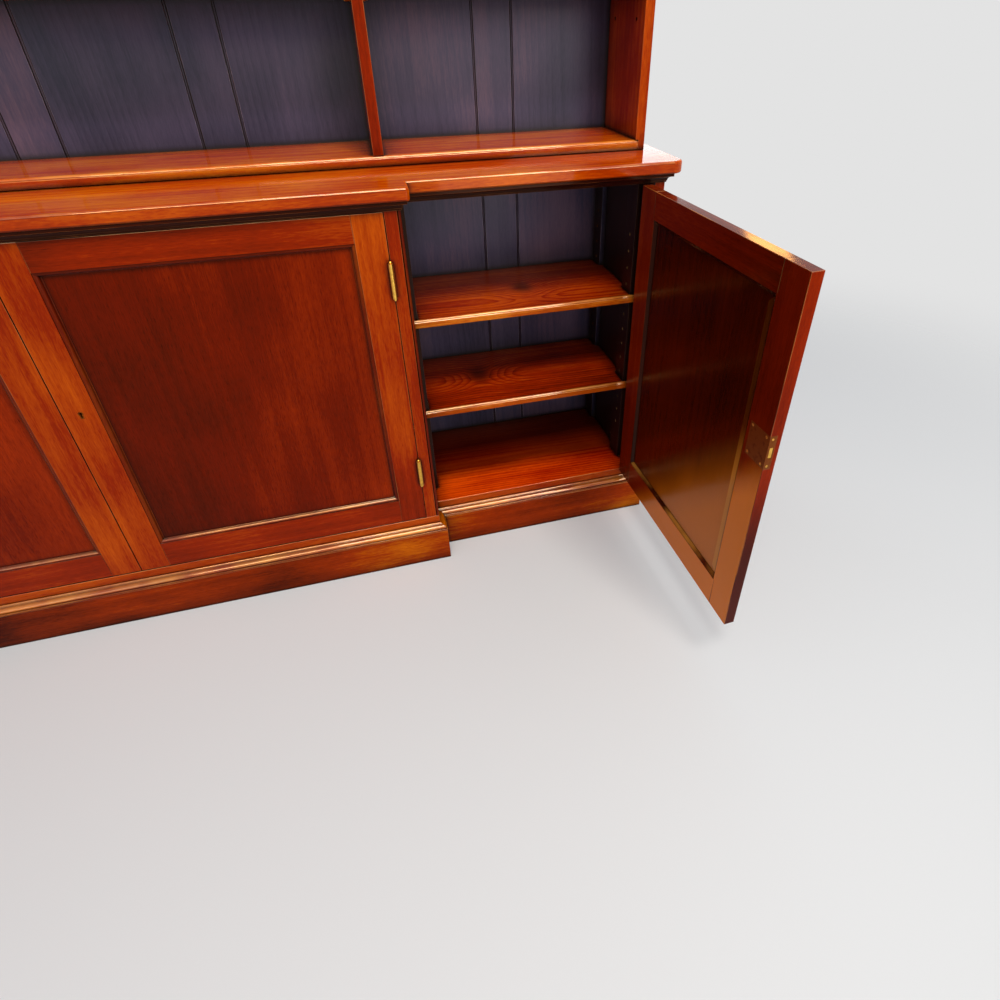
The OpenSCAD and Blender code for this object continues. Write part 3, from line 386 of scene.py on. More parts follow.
@dataclass(frozen=True)
class WornBrass:
    """Cast and rolled brass: yellow metal, brown with tarnish where hands don't rub it."""

    name: str = "worn_polished_brass"
    bright: str = "#e8b650"
    tarnish: str = "#a87830"
    rough: float = 0.3
    tarnish_rough: float = 0.25  # how much rougher the tarnish is
    patches: float = 120.0  # of tarnish per metre, so that each is about 8 mm wide
    patch_edge: Pair = (0.48, 0.8)
    scratches: float = 1900.0  # per metre, so that they are about 0.5 mm apart
    scratch_deep: float = 0.05 * MM

    def build(self) -> bpy.types.Material:
        """Makes the material.

        Returns:
            The new material.
        """
        material = bpy.data.materials.new(self.name)
        add = node_adder(material)
        place = add("TexCoord").outputs["Object"]
        patch = add("TexNoise", {"Vector": place, "Scale": self.patches, "Detail": 4.0})
        scratch = add("TexNoise", {"Vector": place, "Scale": self.scratches, "Detail": 2.0})
        spread = add("MapRange", (patch, *self.patch_edge), **SMOOTH)
        colour = add("Mix", {0: spread, 6: linear(self.bright), 7: linear(self.tarnish)}, data_type="RGBA")
        rough = add("MapRange", (spread, 0.0, 1.0, self.rough, self.rough + self.tarnish_rough))
        normal = add("Bump", {"Height": scratch, "Strength": 0.2, "Distance": self.scratch_deep})
        metal = {"Base Color": colour, "Metallic": 1.0, "Roughness": rough, "Normal": normal}
        add("OutputMaterial", {"Surface": add("BsdfPrincipled", metal)})
        return material


WIDE = {"ring": 26 * MM, "taper": 0.03, "pith": 90 * MM}  # a panel's wide board, with a broad quiet figure
KNOTTY = {"ring": 7.5 * MM, "ring_sharp": 2.6, "taper": 0.05, "pith": 28 * MM, "wander": 16 * MM,
          "streak": 0.24, "pore": 0.0, "mottle": 0.3, "knots": True, "tone_spread": 0.2, "shine": 0.08}


class Finish(Enum):
    """The bookcase's finishes."""

    # Mahogany under French polish: deep red-brown, straight fine grain, wet gloss
    FRAME = WoodFinish(
        "french_polished_mahogany", "#4e0e01", "#8e2101", "#c85608", ring_strength=0.1, streak=0.2,
        mottle=0.32)
    # The free edge of the open door, bright, with painted shade darkening its foot
    EDGE = WoodFinish(
        "rubbed_mahogany_edge", "#5a0c00", "#8e2200", "#ba4206", streak=0.16, shine=0.06, coat=0.0,
        painted_light_tint="#3a0a04", fade_soft=260 * MM, fade_most=0.9)
    # Upper edges of the open door: rubbed half matt, so that only a lamp glints in them
    UPPER_EDGE = WoodFinish(
        "half_matt_mahogany_edge", "#3a0a02", "#6a1a04", "#9a3808", rough=0.12, shine=0.14, coat=0.0,
        shade=0.0)
    # The same on the inside of a cupboard door: darker, with a painted reflection that makes its foot paler
    FRAME_INSIDE = WoodFinish(
        "french_polished_mahogany_door_inside", "#3a0901", "#6e1602", "#a03604", streak=0.16, mottle=0.2,
        painted_light_tint="#ea7e08", fade_soft=100 * MM, fade_most=0.68)
    # The inside of the door's panel: a painted reflection at its foot and heavy painted shade along its
    # borders
    PANEL_INSIDE = WoodFinish(
        "french_polished_mahogany_panel_inside", "#2c0701", "#4c1001", "#7a2403", **WIDE, ring_strength=0.06,
        streak=0.2, mottle=0.24, painted_light_tint="#d5730c", fade_soft=210 * MM, fade_most=0.68, shade=0.85,
        shade_from=0.75)
    # The strip of a panel along the free stile: a painted reflection of that stile, paler at its foot
    PANEL_EDGE = WoodFinish(
        "french_polished_mahogany_panel_edge", "#3c1402", "#602c06", "#8a480e", ring=26 * MM,
        ring_strength=0.05, streak=0.1, mottle=0.2, painted_light_tint="#c87c26", shade=0.2)
    # A darker copy with painted shade: the moulding that hangs in the top's shadow, and the bevels inside the
    # open door
    SHADED = WoodFinish(
        "dark_french_polished_mahogany", "#220602", "#3c0e04", "#6a2008", ring_strength=0.1, moulded_coat=0.3)
    # The same wood cut for panels: browner, with a broad quiet figure and painted shade along its borders
    PANEL = WoodFinish(
        "french_polished_mahogany_panel", "#3a0800", "#6a1200", "#a02d02", **WIDE, streak=0.13, mottle=0.26,
        pore=0.6, shade=0.6, shade_from=0.65, coat=0.015)
    # The plinth's boards: streaky and golden
    PLINTH = WoodFinish(
        "french_polished_mahogany_plinth", "#440c00", "#942c00", "#e07c04", ring=12 * MM, streak=0.18,
        mottle=0.6, tone_spread=0.2, shine=0.08)
    # The wide top, faded by light to a redder gold
    TOP = WoodFinish(
        "french_polished_mahogany_top", "#781a00", "#c44000", "#f08608", ring=18 * MM, ring_strength=0.14,
        streak=0.24, mottle=0.4, rough=0.1, shine=0.05, coat=0.2)
    # Its front edge, rubbed to a full gloss
    TOP_EDGE = WoodFinish(
        "french_polished_mahogany_top_edge", "#5a1400", "#a63200", "#dc6a06", ring=18 * MM, ring_strength=0.1,
        streak=0.2, mottle=0.4, rough=0.1, coat=0.16)
    # Mahogany inside the base, never faded, and darkened further with painted shade
    INNER = WoodFinish(
        "dark_polished_mahogany", "#17090b", "#26110f", "#3a1a16", ring_strength=0.12, edge="#4a3230",
        edge_wear_and_sheen=0.4, rough=0.3, coat=0.1)
    # Knotty pine under red stain and polish: bold wavy rings, with pale arrises that are wear and a painted
    # highlight
    SHELF = WoodFinish(
        "red_stained_polished_pine", "#360800", "#a02600", "#e4620c", **KNOTTY, ring_strength=0.34, rough=0.2,
        edge="#f2c88c", edge_wear_and_sheen=0.95)
    # The same on the cupboards' floor, red in front, with a painted shadow over its back
    FLOOR = WoodFinish(
        "dark_red_stained_polished_pine", "#2c0400", "#b41e00", "#ff5a04", **KNOTTY, ring_strength=0.3,
        painted_light_tint="#300400", fade_soft=60 * MM, fade_most=0.82)
    # The shelves' front edges: a paler golden copy of the shelf pine as painted light, with a painted
    # highlight on the arris
    SHELF_FRONT = WoodFinish(
        "golden_polished_pine_edge", "#6a1e02", "#b44c06", "#f0982a", ring=7.5 * MM, ring_strength=0.1,
        streak=0.24, mottle=0.5, edge="#ffe0b0", edge_wear_and_sheen=1.0, shade=0.3)
    # Pine boards under a thin blue-grey stain, half matt
    BACK = WoodFinish(
        "blue_grey_stained_pine", "#1e2440", "#4a4664", "#78647a", ring=12 * MM, ring_strength=0.14,
        taper=0.03, streak=0.1, mottle=0.42, pore=0.0, edge="#c4bcd4", edge_wear_and_sheen=0.9, rough=0.36, shine=0.3,
        shine_tint="#ffffff", coat=0.05, coat_rough=0.2)
    # Bare pine where nobody looks, brown with age
    BARE = WoodFinish(
        "bare_aged_pine", "#6e4a26", "#a27a48", "#c49e6a", ring=9 * MM, ring_strength=0.35, taper=0.04,
        pore=0.0, knots=True, edge="#c9a87c", crease_dirt_and_shade=0.35, shade=0.15, rough=0.75, rough_spread=0.05,
        relief=0.6, shine=0.15, shine_tint="#ffffff", coat=0.0)
    # Rolled and cast brass, rubbed bright on its high parts
    BRASS = WornBrass()
    # The locks' plates under brown old lacquer
    LOCK = WornBrass("brown_lacquered_brass", "#7c4010", "#5c2408", 0.42)

    @cache
    def material(self) -> bpy.types.Material:
        """Returns the finish's material, made when first asked for."""
        return self.value.build()


# Sizes taken over from the CAD source, in metres


@dataclass(frozen=True)
class Sizes:
    """The bookcase's driving sizes."""

    half: float = 660 * MM  # half of the middle part's width
    front_c: float = -184 * MM  # the middle part's front
    front_w: float = -134 * MM  # the wings' front
    end_in: float = 1176 * MM
    stile_face: float = 30 * MM
    floor: float = 131 * MM
    door_gap: float = 1.5 * MM
    door_set: float = 1 * MM
    door_t: float = 22 * MM
    door_h: float = 734 * MM
    pin_out: float = 5 * MM
    wing_door_w: float = 513 * MM
    centre_door_w: float = 627.75 * MM
    rest_open: float = 92.0  # degrees that the right wing door stands open
    hinge_low: float = 141 * MM  # from the door's lower edge
    hinge_high: float = 128 * MM  # from its upper edge
    hinge_l: float = 70 * MM
    leaf_w: float = 17 * MM
    lock_z: float = 428 * MM
    lock_w: float = 52 * MM
    lock_h: float = 66 * MM
    slip_l: float = 90 * MM
    slip_in: float = 10 * MM
    slip_x: float = 9 * MM

    @property
    def door_z0(self) -> float:
        """Height of the doors' lower edges."""
        return self.floor + self.door_gap

    @property
    def hinge_heights(self) -> Pair:
        """Heights of both hinges' middles on a door."""
        return self.hinge_low, self.door_h - self.hinge_high


SIZES = Sizes()


# Boards

PINE, STAINED_PINE, BARE_PINE = "polished_pine", "dark_stained_pine", "bare_pine"
Face = bpy.types.MeshPolygon
Verts = list[bmesh.types.BMVert]


def faces_wall(face: Face) -> bool:
    """Tells whether a face looks to the wall behind the bookcase."""
    return face.normal.y > 0.9


def faces_cupboard(face: Face) -> bool:
    """Tells whether an end panel's face looks into the cupboard."""
    return face.normal.x * face.center.x < -0.2 * abs(face.center.x)


def lines_hole(face: Face) -> bool:
    """Tells whether a face is one of the small ones round a peg hole."""
    return face.area < 2.5e-5 and abs(face.normal.x) < 0.3


def faces_front(face: Face) -> bool:
    """Tells whether a face looks to the front."""
    return face.normal.y < -0.6


def slopes_inside(face: Face) -> bool:
    """Tells whether a face is a bevel round the panel on the open door's inside."""
    return -0.95 < face.normal.x < -0.3


def faces_up(face: Face) -> bool:
    """Tells whether a face looks up."""
    return face.normal.z > 0.9


def edges_panel(face: Face) -> bool:
    """Tells whether a face is the strip of the open door's panel along its free stile."""
    return face.normal.x < -0.9 and face.area < 0.03 and face.center.y < -0.5


def faces_inside(face: Face) -> bool:
    """Tells whether a face of the open door looks to the cupboard when it is shut."""
    return face.normal.x < -0.3


def fronts_rear_upright(face: Face) -> bool:
    """Tells whether a face is the front edge of a rear upright, in the light."""
    return face.normal.y < -0.5 and face.center.y > 0 and face.area > 1e-4


WELD = 0.01 * MM  # the CAD mesh's vertices closer than this are one
FLAT_WITHIN, SHARP_FROM, EASED_FROM = math.radians(0.6), math.radians(34), math.radians(38)
LARGE_FACE = 0.1  # square metres of a face that gets a margin
MOULDING_LENGTH = 0.1  # a shorter strip isn't moulding
SHORT_EDGE, THIN_FACE = 4, 2.4  # times the ease: left sharp
LEVEL, STEEP = 0.1, 0.3  # a normal's z where a face begins to look up, and how much more it takes
EASED_GOLD = 0.2  # how far an eased edge counts as moulding at least, for its gloss and for the painted highlight where it looks up
SEED_REACH = 40  # metres of noise that the boards are cut from
SHIFT_ACROSS, SHIFT_DEEP = 0.3, 0.02  # how far a board lies off the heart: share of its width, metres
KNOT_ALONG, KNOT_ACROSS, KNOT_SIZES = 0.45, 0.4, (5, 9)  # shares of the board, millimetres


@dataclass
class Boards:
    """One CAD node's boards, with eased arrises and grain that follows each board."""

    node: str
    finish: Finish
    slot: str = "polished_mahogany"
    ease: float = 1.0 * MM
    narrow: float = 9.5 * MM  # strips up to this wide belong to a moulding
    margin: float = 0.0  # width of a strip set off round the large faces
    turned: Matrix = field(default_factory=lambda: Matrix.Identity(4))  # brings an open door's boards square
    others: tuple[tuple[Finish, Callable[[Face], bool]], ...] = ()  # some faces' finishes; the last wins
    tone: float = 0.0
    tones: tuple[float, ...] = ()  # what is added to it for each board
    painted_light_slope: Triple = (0.0, 0.0, 0.0)  # painted light: how the tone changes for each metre to the right, back and up
    painted_slope_over: float = 0.0  # the length from which a board has that change
    fade: tuple[float, ...] = (0.0, 0.0, 0.0, 0.0)  # how far past the line of painted light or shade: factors of x, y, z, a constant
    knots: tuple[Triple, ...] = ()  # each board's knot where it isn't left to chance

    def build(self) -> None:
        """Builds the piece and lets it stand for its node."""
        source = frame["nodes"][self.node]
        shape = bmesh.new()
        shape.from_mesh(source.data)
        bmesh.ops.remove_doubles(shape, verts=shape.verts, dist=WELD)
        bmesh.ops.dissolve_limit(shape, angle_limit=FLAT_WITHIN, verts=shape.verts, edges=shape.edges)
        verts, faces = shape.verts.layers, shape.faces.layers
        for layers, names in ((verts.float_vector, VECTORS), (verts.float, NUMBERS), (faces.float, MARKS)):
            for name in names:
                layers.new(name)
        if self.margin:
            large = [face for face in shape.faces if face.calc_area() > LARGE_FACE]
            bmesh.ops.inset_individual(shape, faces=large, thickness=self.margin)
        moulded = faces.float["moulded"]
        for face in shape.faces:
            longest = max(edge.calc_length() for edge in face.edges)
            if longest > MOULDING_LENGTH and face.calc_area() / longest < self.narrow:
                face[moulded] = 2 * self._upward(face.normal) - 1
        self._ease(shape)
        islands = self._islands(shape)
        for index, members in enumerate(islands):
            self._grow(shape, index, members)
        mesh = bpy.data.meshes.new(f"{self.node}_timber")
        shape.to_mesh(mesh)
        shape.free()
        piece = put(mesh.name, mesh)
        mesh.materials.append(self.finish.material())
        for index, (finish, chosen) in enumerate(self.others, 1):
            mesh.materials.append(finish.material())
            for face in mesh.polygons:
                if chosen(face):
                    face.material_index = index
        mesh.shade_smooth()
        mesh.set_sharp_from_angle(angle=SHARP_FROM)
        piece.modifiers.new("Even normals", "WEIGHTED_NORMAL").keep_sharp = True
        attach(piece, source["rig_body"])
        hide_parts(self.node)
        LOG.info("%s: %d boards, %d faces", piece.name, len(islands), len(mesh.polygons))

    def _upward(self, normal: Vector) -> float:
        """Returns how far a face looks up: 1 from about 25 degrees above level."""
        return min(1.0, max(0.0, (normal.z - LEVEL) / STEEP))

    def _ease(self, shape: bmesh.types.BMesh) -> None:
        """Takes the sharpness off the outside arrises and marks the new faces.

        Args:
            shape: The boards' mesh, changed in place.
        """
        edges = []
        for edge in shape.edges:
            length = edge.calc_length()
            if len(edge.link_faces) != 2 or not edge.is_convex or length < SHORT_EDGE * self.ease:
                continue
            wide = all(face.calc_area() / length > THIN_FACE * self.ease for face in edge.link_faces)
            if wide and edge.calc_face_angle(0.0) >= EASED_FROM:
                edges.append(edge)
        if not edges:
            return
        made = bmesh.ops.bevel(shape, geom=edges, offset=self.ease, offset_type="OFFSET", segments=2,
                               profile=0.6, affect="EDGES", clamp_overlap=False, loop_slide=False)
        arris, moulded = (shape.faces.layers.float[name] for name in MARKS)
        for face in made["faces"]:
            face[arris] = 1.0
            face[moulded] = EASED_GOLD + (1 - EASED_GOLD) * self._upward(face.normal)

    def _islands(self, shape: bmesh.types.BMesh) -> list[Verts]:
        """Finds the separate boards.

        Args:
            shape: The boards' mesh.

        Returns:
            Each board's vertices, ordered by where it lies.
        """
        left = set(shape.verts)
        islands = []
        while left:
            start = left.pop()
            members, front = [start], [start]
            while front:
                vert = front.pop()
                for edge in vert.link_edges:
                    other = edge.other_vert(vert)
                    if other in left:
                        left.remove(other)
                        members.append(other)
                        front.append(other)
            islands.append(members)

        def place(members: Verts) -> tuple[float, ...]:
            """Returns a board's middle, rounded, to order it by."""
            middle = sum((v.co for v in members), Vector()) / len(members)
            return tuple(round(c, 2) for c in middle)

        return sorted(islands, key=place)

    def _grow(self, shape: bmesh.types.BMesh, index: int, members: Verts) -> None:
        """Gives a board a grain of its own.

        Args:
            shape: The boards' mesh.
            index: The board's number, which also seeds its random draws.
            members: The board's vertices.
        """
        board, seed, knot = (shape.verts.layers.float_vector[name] for name in VECTORS)
        tone, fade = (shape.verts.layers.float[name] for name in NUMBERS)
        dice = random.Random(f"{self.node}:{index}")
        local = [self.turned @ v.co for v in members]
        low = Vector([min(p[i] for p in local) for i in range(3)])
        high = Vector([max(p[i] for p in local) for i in range(3)])
        middle, size = (low + high) / 2, high - low
        order = sorted(range(3), key=lambda i: -size[i])
        along, across = size[order[0]], size[order[1]]
        offset = Vector([dice.uniform(0, SEED_REACH) for _ in range(3)])
        shift = Vector((0, dice.uniform(-SHIFT_ACROSS, SHIFT_ACROSS) * across, dice.uniform(0, SHIFT_DEEP)))
        shade = self.tone + dice.uniform(-1, 1) + (self.tones[index] if index < len(self.tones) else 0.0)
        if index < len(self.knots):
            heart = Vector(self.knots[index])
        else:
            heart = Vector((dice.uniform(-KNOT_ALONG, KNOT_ALONG) * along,
                            dice.uniform(-KNOT_ACROSS, KNOT_ACROSS) * across, dice.uniform(*KNOT_SIZES) * MM))
        for vert, point in zip(members, local):
            away = point - middle
            vert[board] = Vector([away[i] for i in order]) + shift
            vert[seed] = offset
            vert[knot] = heart + shift
            vert[tone] = shade + (away.dot(Vector(self.painted_light_slope)) if max(size) > self.painted_slope_over else 0.0)
            vert[fade] = point.dot(Vector(self.fade[:3])) + self.fade[3]


# Bare pine behind; on the shelves' fronts, the paler copy that stands for painted light
BARE_BEHIND, PAINTED_LIGHT_FRONT = ((Finish.BARE, faces_wall),), ((Finish.SHELF_FRONT, faces_front),)


class SubAssembly:
    """A part of the bookcase, which dresses each of its nodes in one way."""

    def dress(self, rows: list[Boards]) -> None:
        """Builds each set of boards in turn.

        Args:
            rows: The sets of boards.
        """
        for boards in rows:
            boards.build()

    def paint(self, node: str, finish: Finish = Finish.BRASS) -> None:
        """Gives a CAD node that stays as it is its material.

        Args:
            node: The node's name.
            finish: The finish.
        """
        mesh = frame["nodes"][node].data
        mesh.materials.clear()
        mesh.materials.append(finish.material())
        LOG.info("%s: carried over", node)


class BaseCarcase(SubAssembly):
    """The cupboard base: plinth, boards, stiles, rails, back and top."""

    def build(self) -> None:
        """Builds the base's fixed pieces."""
        self.dress([
            # Painted light on the plinth's front: the long middle board darker and paler to the right, the
            # right wing's board paler
            Boards("plinth_front_boards", Finish.PLINTH, tones=(0.0, -0.9, 1.0),
                   painted_light_slope=(2.4, 0.0, 0.0), painted_slope_over=1.0),
            Boards("plinth_side_boards", Finish.PLINTH),
            Boards("plinth_inner_rails", Finish.BARE, BARE_PINE),
            Boards("plinth_moulding", Finish.PLINTH, ease=0.6 * MM, narrow=30 * MM, tone=0.8),
            # Behind y = -75 mm the floor darkens under its painted shadow
            Boards("base_floor_boards", Finish.FLOOR, PINE, tone=0.6, fade=(0.0, 1.0, 0.0, 75 * MM),
                   knots=((0.2, 0.3, 0.006), (0.2, 0.3, 0.006), (0.1, -0.4, 0.006)),
                   others=((Finish.FRAME, faces_front),)),
            Boards("base_end_panels", Finish.FRAME, tone=-0.4, others=((Finish.INNER, faces_cupboard),)),
            Boards("base_divisions", Finish.INNER),
            Boards("base_centre_stiles", Finish.FRAME, ease=0.6 * MM, tone=0.9),
            Boards("base_top_rails", Finish.FRAME, tone=-0.6),
            Boards("base_back_boards", Finish.BACK, STAINED_PINE, ease=0.9 * MM, others=BARE_BEHIND),
            Boards("base_top", Finish.TOP, others=((Finish.TOP_EDGE, faces_front),)),
            Boards("bed_moulding", Finish.SHADED, ease=0.4 * MM, narrow=4 * MM),
        ])


class Shelving(SubAssembly):
    """Uprights and shelves of the cupboards and of the upper bays."""

    def build(self) -> None:
        """Builds uprights, shelves and pegs."""
        self.dress([
            # Painted light: the rear uprights' front edges take the paler blue-grey stain
            Boards("shelf_uprights", Finish.INNER, STAINED_PINE, ease=0.6 * MM, tone=-0.5,
                   others=((Finish.BACK, fronts_rear_upright), (Finish.BARE, lines_hole))),
            Boards("wing_shelves", Finish.SHELF, PINE, ease=1.4 * MM, tone=0.5,
                   tones=(0.0, 0.0, -1.0, 0.7), others=PAINTED_LIGHT_FRONT,
                   knots=((0, 0, 0.006), (0, 0, 0.006), (-0.1, 0.012, 0.014), (0.015, -0.012, 0.014))),
            Boards("centre_shelves", Finish.SHELF, PINE, ease=0.5 * MM, others=PAINTED_LIGHT_FRONT),
            Boards("upper_wing_shelves", Finish.TOP, ease=0.5 * MM),
            Boards("upper_centre_shelves", Finish.TOP, ease=0.5 * MM),
        ])
        self.paint("shelf_pegs")


class UpperBookcase(SubAssembly):
    """The open bookcase that stands on the base."""

    def build(self) -> None:
        """Builds the upper boards, back, frieze and cornice."""
        self.dress([
            Boards("upper_bottom_board", Finish.TOP, ease=3 * MM),
            Boards("upper_end_panels", Finish.FRAME),
            Boards("upper_divisions", Finish.FRAME, tone=-0.4),
            Boards("upper_top_board", Finish.BARE, BARE_PINE),
            Boards("upper_back_boards", Finish.BACK, STAINED_PINE, ease=0.5 * MM, others=BARE_BEHIND),
            Boards("frieze_rail", Finish.FRAME),
            Boards("cornice_moulding", Finish.FRAME, ease=0.5 * MM),
        ])


# Doors and their metalwork

TO_LEFT, TO_RIGHT, TO_BACK = Vector((-1, 0, 0)), Vector((1, 0, 0)), Vector((0, 1, 0))
PAINTED_REFLECTION_LINE = 61 * MM  # height at the hinge pins of the line below which the open door's inside carries a painted reflection
PANEL_REFLECTION_REACH = 70 * MM  # how much farther that painted reflection reaches on the panel
HINGE_SCREW, LOCK_SCREW, PLATE_SCREW = 3.1 * MM, 2.7 * MM, 2.2 * MM  # the heads' radii
PLATE_INSET, PIN_INSET = 6 * MM, 9 * MM  # screws from a plate's ends, and from the lock's free edge
EDGE_DEPTH = 16 * MM  # screws in the door's edge from its front


@dataclass
class PanelledDoor(SubAssembly):
    """A door: two stiles, two rails and a sunk panel, with its hinges, lock or bolts."""

    name: str
    width: float
    origin: Triple
    free_stile: str = "lock_stile"
    mirrored: bool = False
    opened: float = 0.0
    pin: Pair = (0.0, 0.0)

    def build(self) -> None:
        """Builds the door's boards and dresses its metal."""
        shut = self._swung(-self.opened)
        foot, inside, panel_inside, free, upper = (0.0,) * 4, (), (), (), ()
        if self.opened:
            # Painted reflection: the inside is pale below a line that rises from the hinge side at 45
            # degrees; below it the free edge is darkened with painted shade.
            foot = (-1.0, 0.0, -1.0, self.pin[0] + PAINTED_REFLECTION_LINE)
            inside = ((Finish.FRAME_INSIDE, faces_inside), (Finish.SHADED, slopes_inside))
            panel_inside = ((Finish.PANEL_INSIDE, faces_inside), (Finish.PANEL_EDGE, edges_panel))
            free, upper = ((Finish.EDGE, faces_front),), ((Finish.UPPER_EDGE, faces_up),)
        # Painted light: the hinge stile paler toward the top, the top rail and the panel paler to the right
        for part, tone, painted_light_slope, others in (
            ("hinge_stile", 0.1, (0.0, 0.0, 2.4), inside + upper),
            (self.free_stile, 0.2, (0.0, 0.0, 0.0), inside + free + upper),
            ("top_rail", -1.2, (4.4, 0.0, 0.0), inside + upper),
            ("bottom_rail", 0.0, (0.0, 0.0, 0.0), inside),
        ):
            Boards(f"{self.name}_{part}", Finish.FRAME, turned=shut, tone=tone, painted_light_slope=painted_light_slope, fade=foot,
                   others=others).build()
        Boards(f"{self.name}_panel", Finish.PANEL, turned=shut, tone=-0.4, painted_light_slope=(4.4, 0.0, 0.0),
               fade=(*foot[:3], foot[3] + PANEL_REFLECTION_REACH), margin=28 * MM, others=panel_inside).build()
        self.paint(f"{self.name}_hinges")
        if self.free_stile == "lock_stile":
            self.paint(f"{self.name}_lock", Finish.LOCK)
            self.paint(f"{self.name}_lock_bolt")
        else:
            for part in ("slip_bolt_plates", "top_bolt", "bottom_bolt"):
                self.paint(f"{self.name}_{part}")
        self._screws()

    def _swung(self, degrees: float) -> Matrix:
        """Returns a turn about the door's hinge pins."""
        pin = Matrix.Translation((*self.pin, 0.0))
        return pin @ Matrix.Rotation(math.radians(degrees), 4, "Z") @ pin.inverted()

    def _way(self) -> Matrix:
        """Returns the way to the bookcase's frame from the door's: x from its free edge, y from its front."""
        flip = Matrix.Scale(-1, 4, TO_RIGHT) if self.mirrored else Matrix.Identity(4)
        return flip @ self._swung(self.opened) @ Matrix.Translation(self.origin)

    def _screws(self) -> None:
        """Puts slotted screws in the door's leaves, its lock and its bolt plates."""
        screws = ScrewSet(f"{self.name}_screws", self.name)
        way, s = self._way(), SIZES
        for z in s.hinge_heights:
            screws.add_leaf(way, (self.width, -s.door_set, z), TO_RIGHT, (-15, 15, 45))
        # Each slot stands at some angle of its own, where the screw was tight.
        if self.free_stile == "lock_stile":
            for i in (-1, 1):
                z = s.lock_z + i * (s.lock_h / 2 - PLATE_INSET)
                for x in (PIN_INSET, s.lock_w - PLATE_INSET):
                    screws.add(way, (x, s.door_t, z), TO_BACK, LOCK_SCREW, 40 * i + 900 * x)
                screws.add(way, (0, EDGE_DEPTH, z), TO_LEFT, PLATE_SCREW, 25 * i)
        else:
            for z0 in (s.slip_in, s.door_h - s.slip_in - s.slip_l):
                for z in (PLATE_INSET, s.slip_l - PLATE_INSET):
                    screws.add(way, (s.slip_x, s.door_t, z0 + z), TO_BACK, PLATE_SCREW, 700 * z)
        screws.build()


@dataclass
class ScrewSet:
    """Countersunk slotted brass screws that share a body."""

    name: str
    body: str
    slot_w: float = 0.7 * MM
    slot_floor: float = -0.45 * MM
    foot: float = -0.6 * MM
    proud: float = 0.15 * MM
    rim_high: float = 0.4  # share of that at the rim
    rim: float = 0.97  # shares of the radius: at the rim, of the flat top and of the slot's floor
    flat: float = 0.8
    floor: float = 0.98
    sides: int = 28  # of each half of a head
    floor_sides: int = 24
    outer: float = 0.66  # shares of a hinge leaf's width to its outer screws and to the middle one,
    middle: float = 0.4
    spacing: float = 0.34  # and of its length between them
    _shape: bmesh.types.BMesh = field(default_factory=bmesh.new)

    def add_leaf(self, way: Matrix, place: Triple, out: Vector, turns: Triple) -> None:
        """Adds a hinge leaf's three screws.

        Args:
            way: From the frame that place and out are in to the bookcase's.
            place: The middle of the leaf's front edge.
            out: The direction that the leaf faces.
            turns: The slots' angles in degrees, from the lowest screw up.
        """
        x, y, z = place
        for i, turn in zip((-1, 0, 1), turns):
            depth = SIZES.leaf_w * (self.outer if i else self.middle)
            self.add(way, (x, y + depth, z + i * self.spacing * SIZES.hinge_l), out, HINGE_SCREW, turn)

    def add(self, way: Matrix, place: Triple, out: Vector, radius: float, turn: float) -> None:
        """Adds one screw head.

        Args:
            way: From the frame that place and out are in to the bookcase's.
            place: The head's middle on the plate's face.
            out: The direction that the head faces.
            radius: The head's radius.
            turn: The slot's angle in degrees.
        """
        head = bmesh.new()
        start = math.asin(self.slot_w / 2 / radius)
        angles = [start + (math.pi - 2 * start) * i / self.sides for i in range(self.sides + 1)]
        for side in (-1, 1):
            ring = [(radius * math.cos(a), side * radius * math.sin(a)) for a in angles]
            low = [head.verts.new((x, y, self.foot)) for x, y in ring]
            rim = [head.verts.new((x * self.rim, y * self.rim, self.proud * self.rim_high)) for x, y in ring]
            top = [(x * self.flat, max(abs(y) * self.flat, self.slot_w / 2) * side) for x, y in ring]
            top = [head.verts.new((x, y, self.proud)) for x, y in top]
            for a, b in ((low, rim), (rim, top)):
                for i in range(self.sides):
                    head.faces.new((a[i], a[i + 1], b[i + 1], b[i]))
            head.faces.new(top)
            head.faces.new((low[0], rim[0], top[0], top[-1], rim[-1], low[-1]))
        r, turns = radius * self.floor, [2 * math.pi * i / self.floor_sides for i in range(self.floor_sides)]
        head.faces.new([head.verts.new((r * math.cos(a), r * math.sin(a), self.slot_floor)) for a in turns])
        bmesh.ops.recalc_face_normals(head, faces=head.faces)
        face = out.to_track_quat("Z", "Y").to_matrix().to_4x4()
        matrix = way @ Matrix.Translation(place) @ face @ Matrix.Rotation(math.radians(turn), 4, "Z")
        bmesh.ops.transform(head, matrix=matrix, verts=head.verts)
        if matrix.determinant() < 0:
            bmesh.ops.reverse_faces(head, faces=head.faces)
        spare = bpy.data.meshes.new("screw")
        head.to_mesh(spare)
        head.free()
        self._shape.from_mesh(spare)
        bpy.data.meshes.remove(spare)

    def build(self) -> None:
        """Makes one object of the screws added."""
        mesh = bpy.data.meshes.new(self.name)
        self._shape.to_mesh(mesh)
        self._shape.free()
        mesh.materials.append(Finish.BRASS.material())
        piece = put(self.name, mesh)
        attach(piece, self.body)
        LOG.info("%s: %d faces", self.name, len(mesh.polygons))


class CarcaseHinges(SubAssembly):
    """The hinge leaves that stay on the carcase, with their screws."""

    def build(self) -> None:
        """Dresses the leaves and puts in their screws."""
        self.paint("carcase_hinge_leaves")
        screws = ScrewSet("carcase_hinge_screws", "carcase")
        s = SIZES
        for flip in (Matrix.Identity(4), Matrix.Scale(-1, 4, TO_RIGHT)):
            for x, front in ((s.end_in, s.front_w), (s.half - s.stile_face, s.front_c)):
                for z in s.hinge_heights:
                    screws.add_leaf(flip, (x, front, s.door_z0 + z), TO_LEFT, (-30, 20, 70))
        screws.build()


# Camera, floor and light


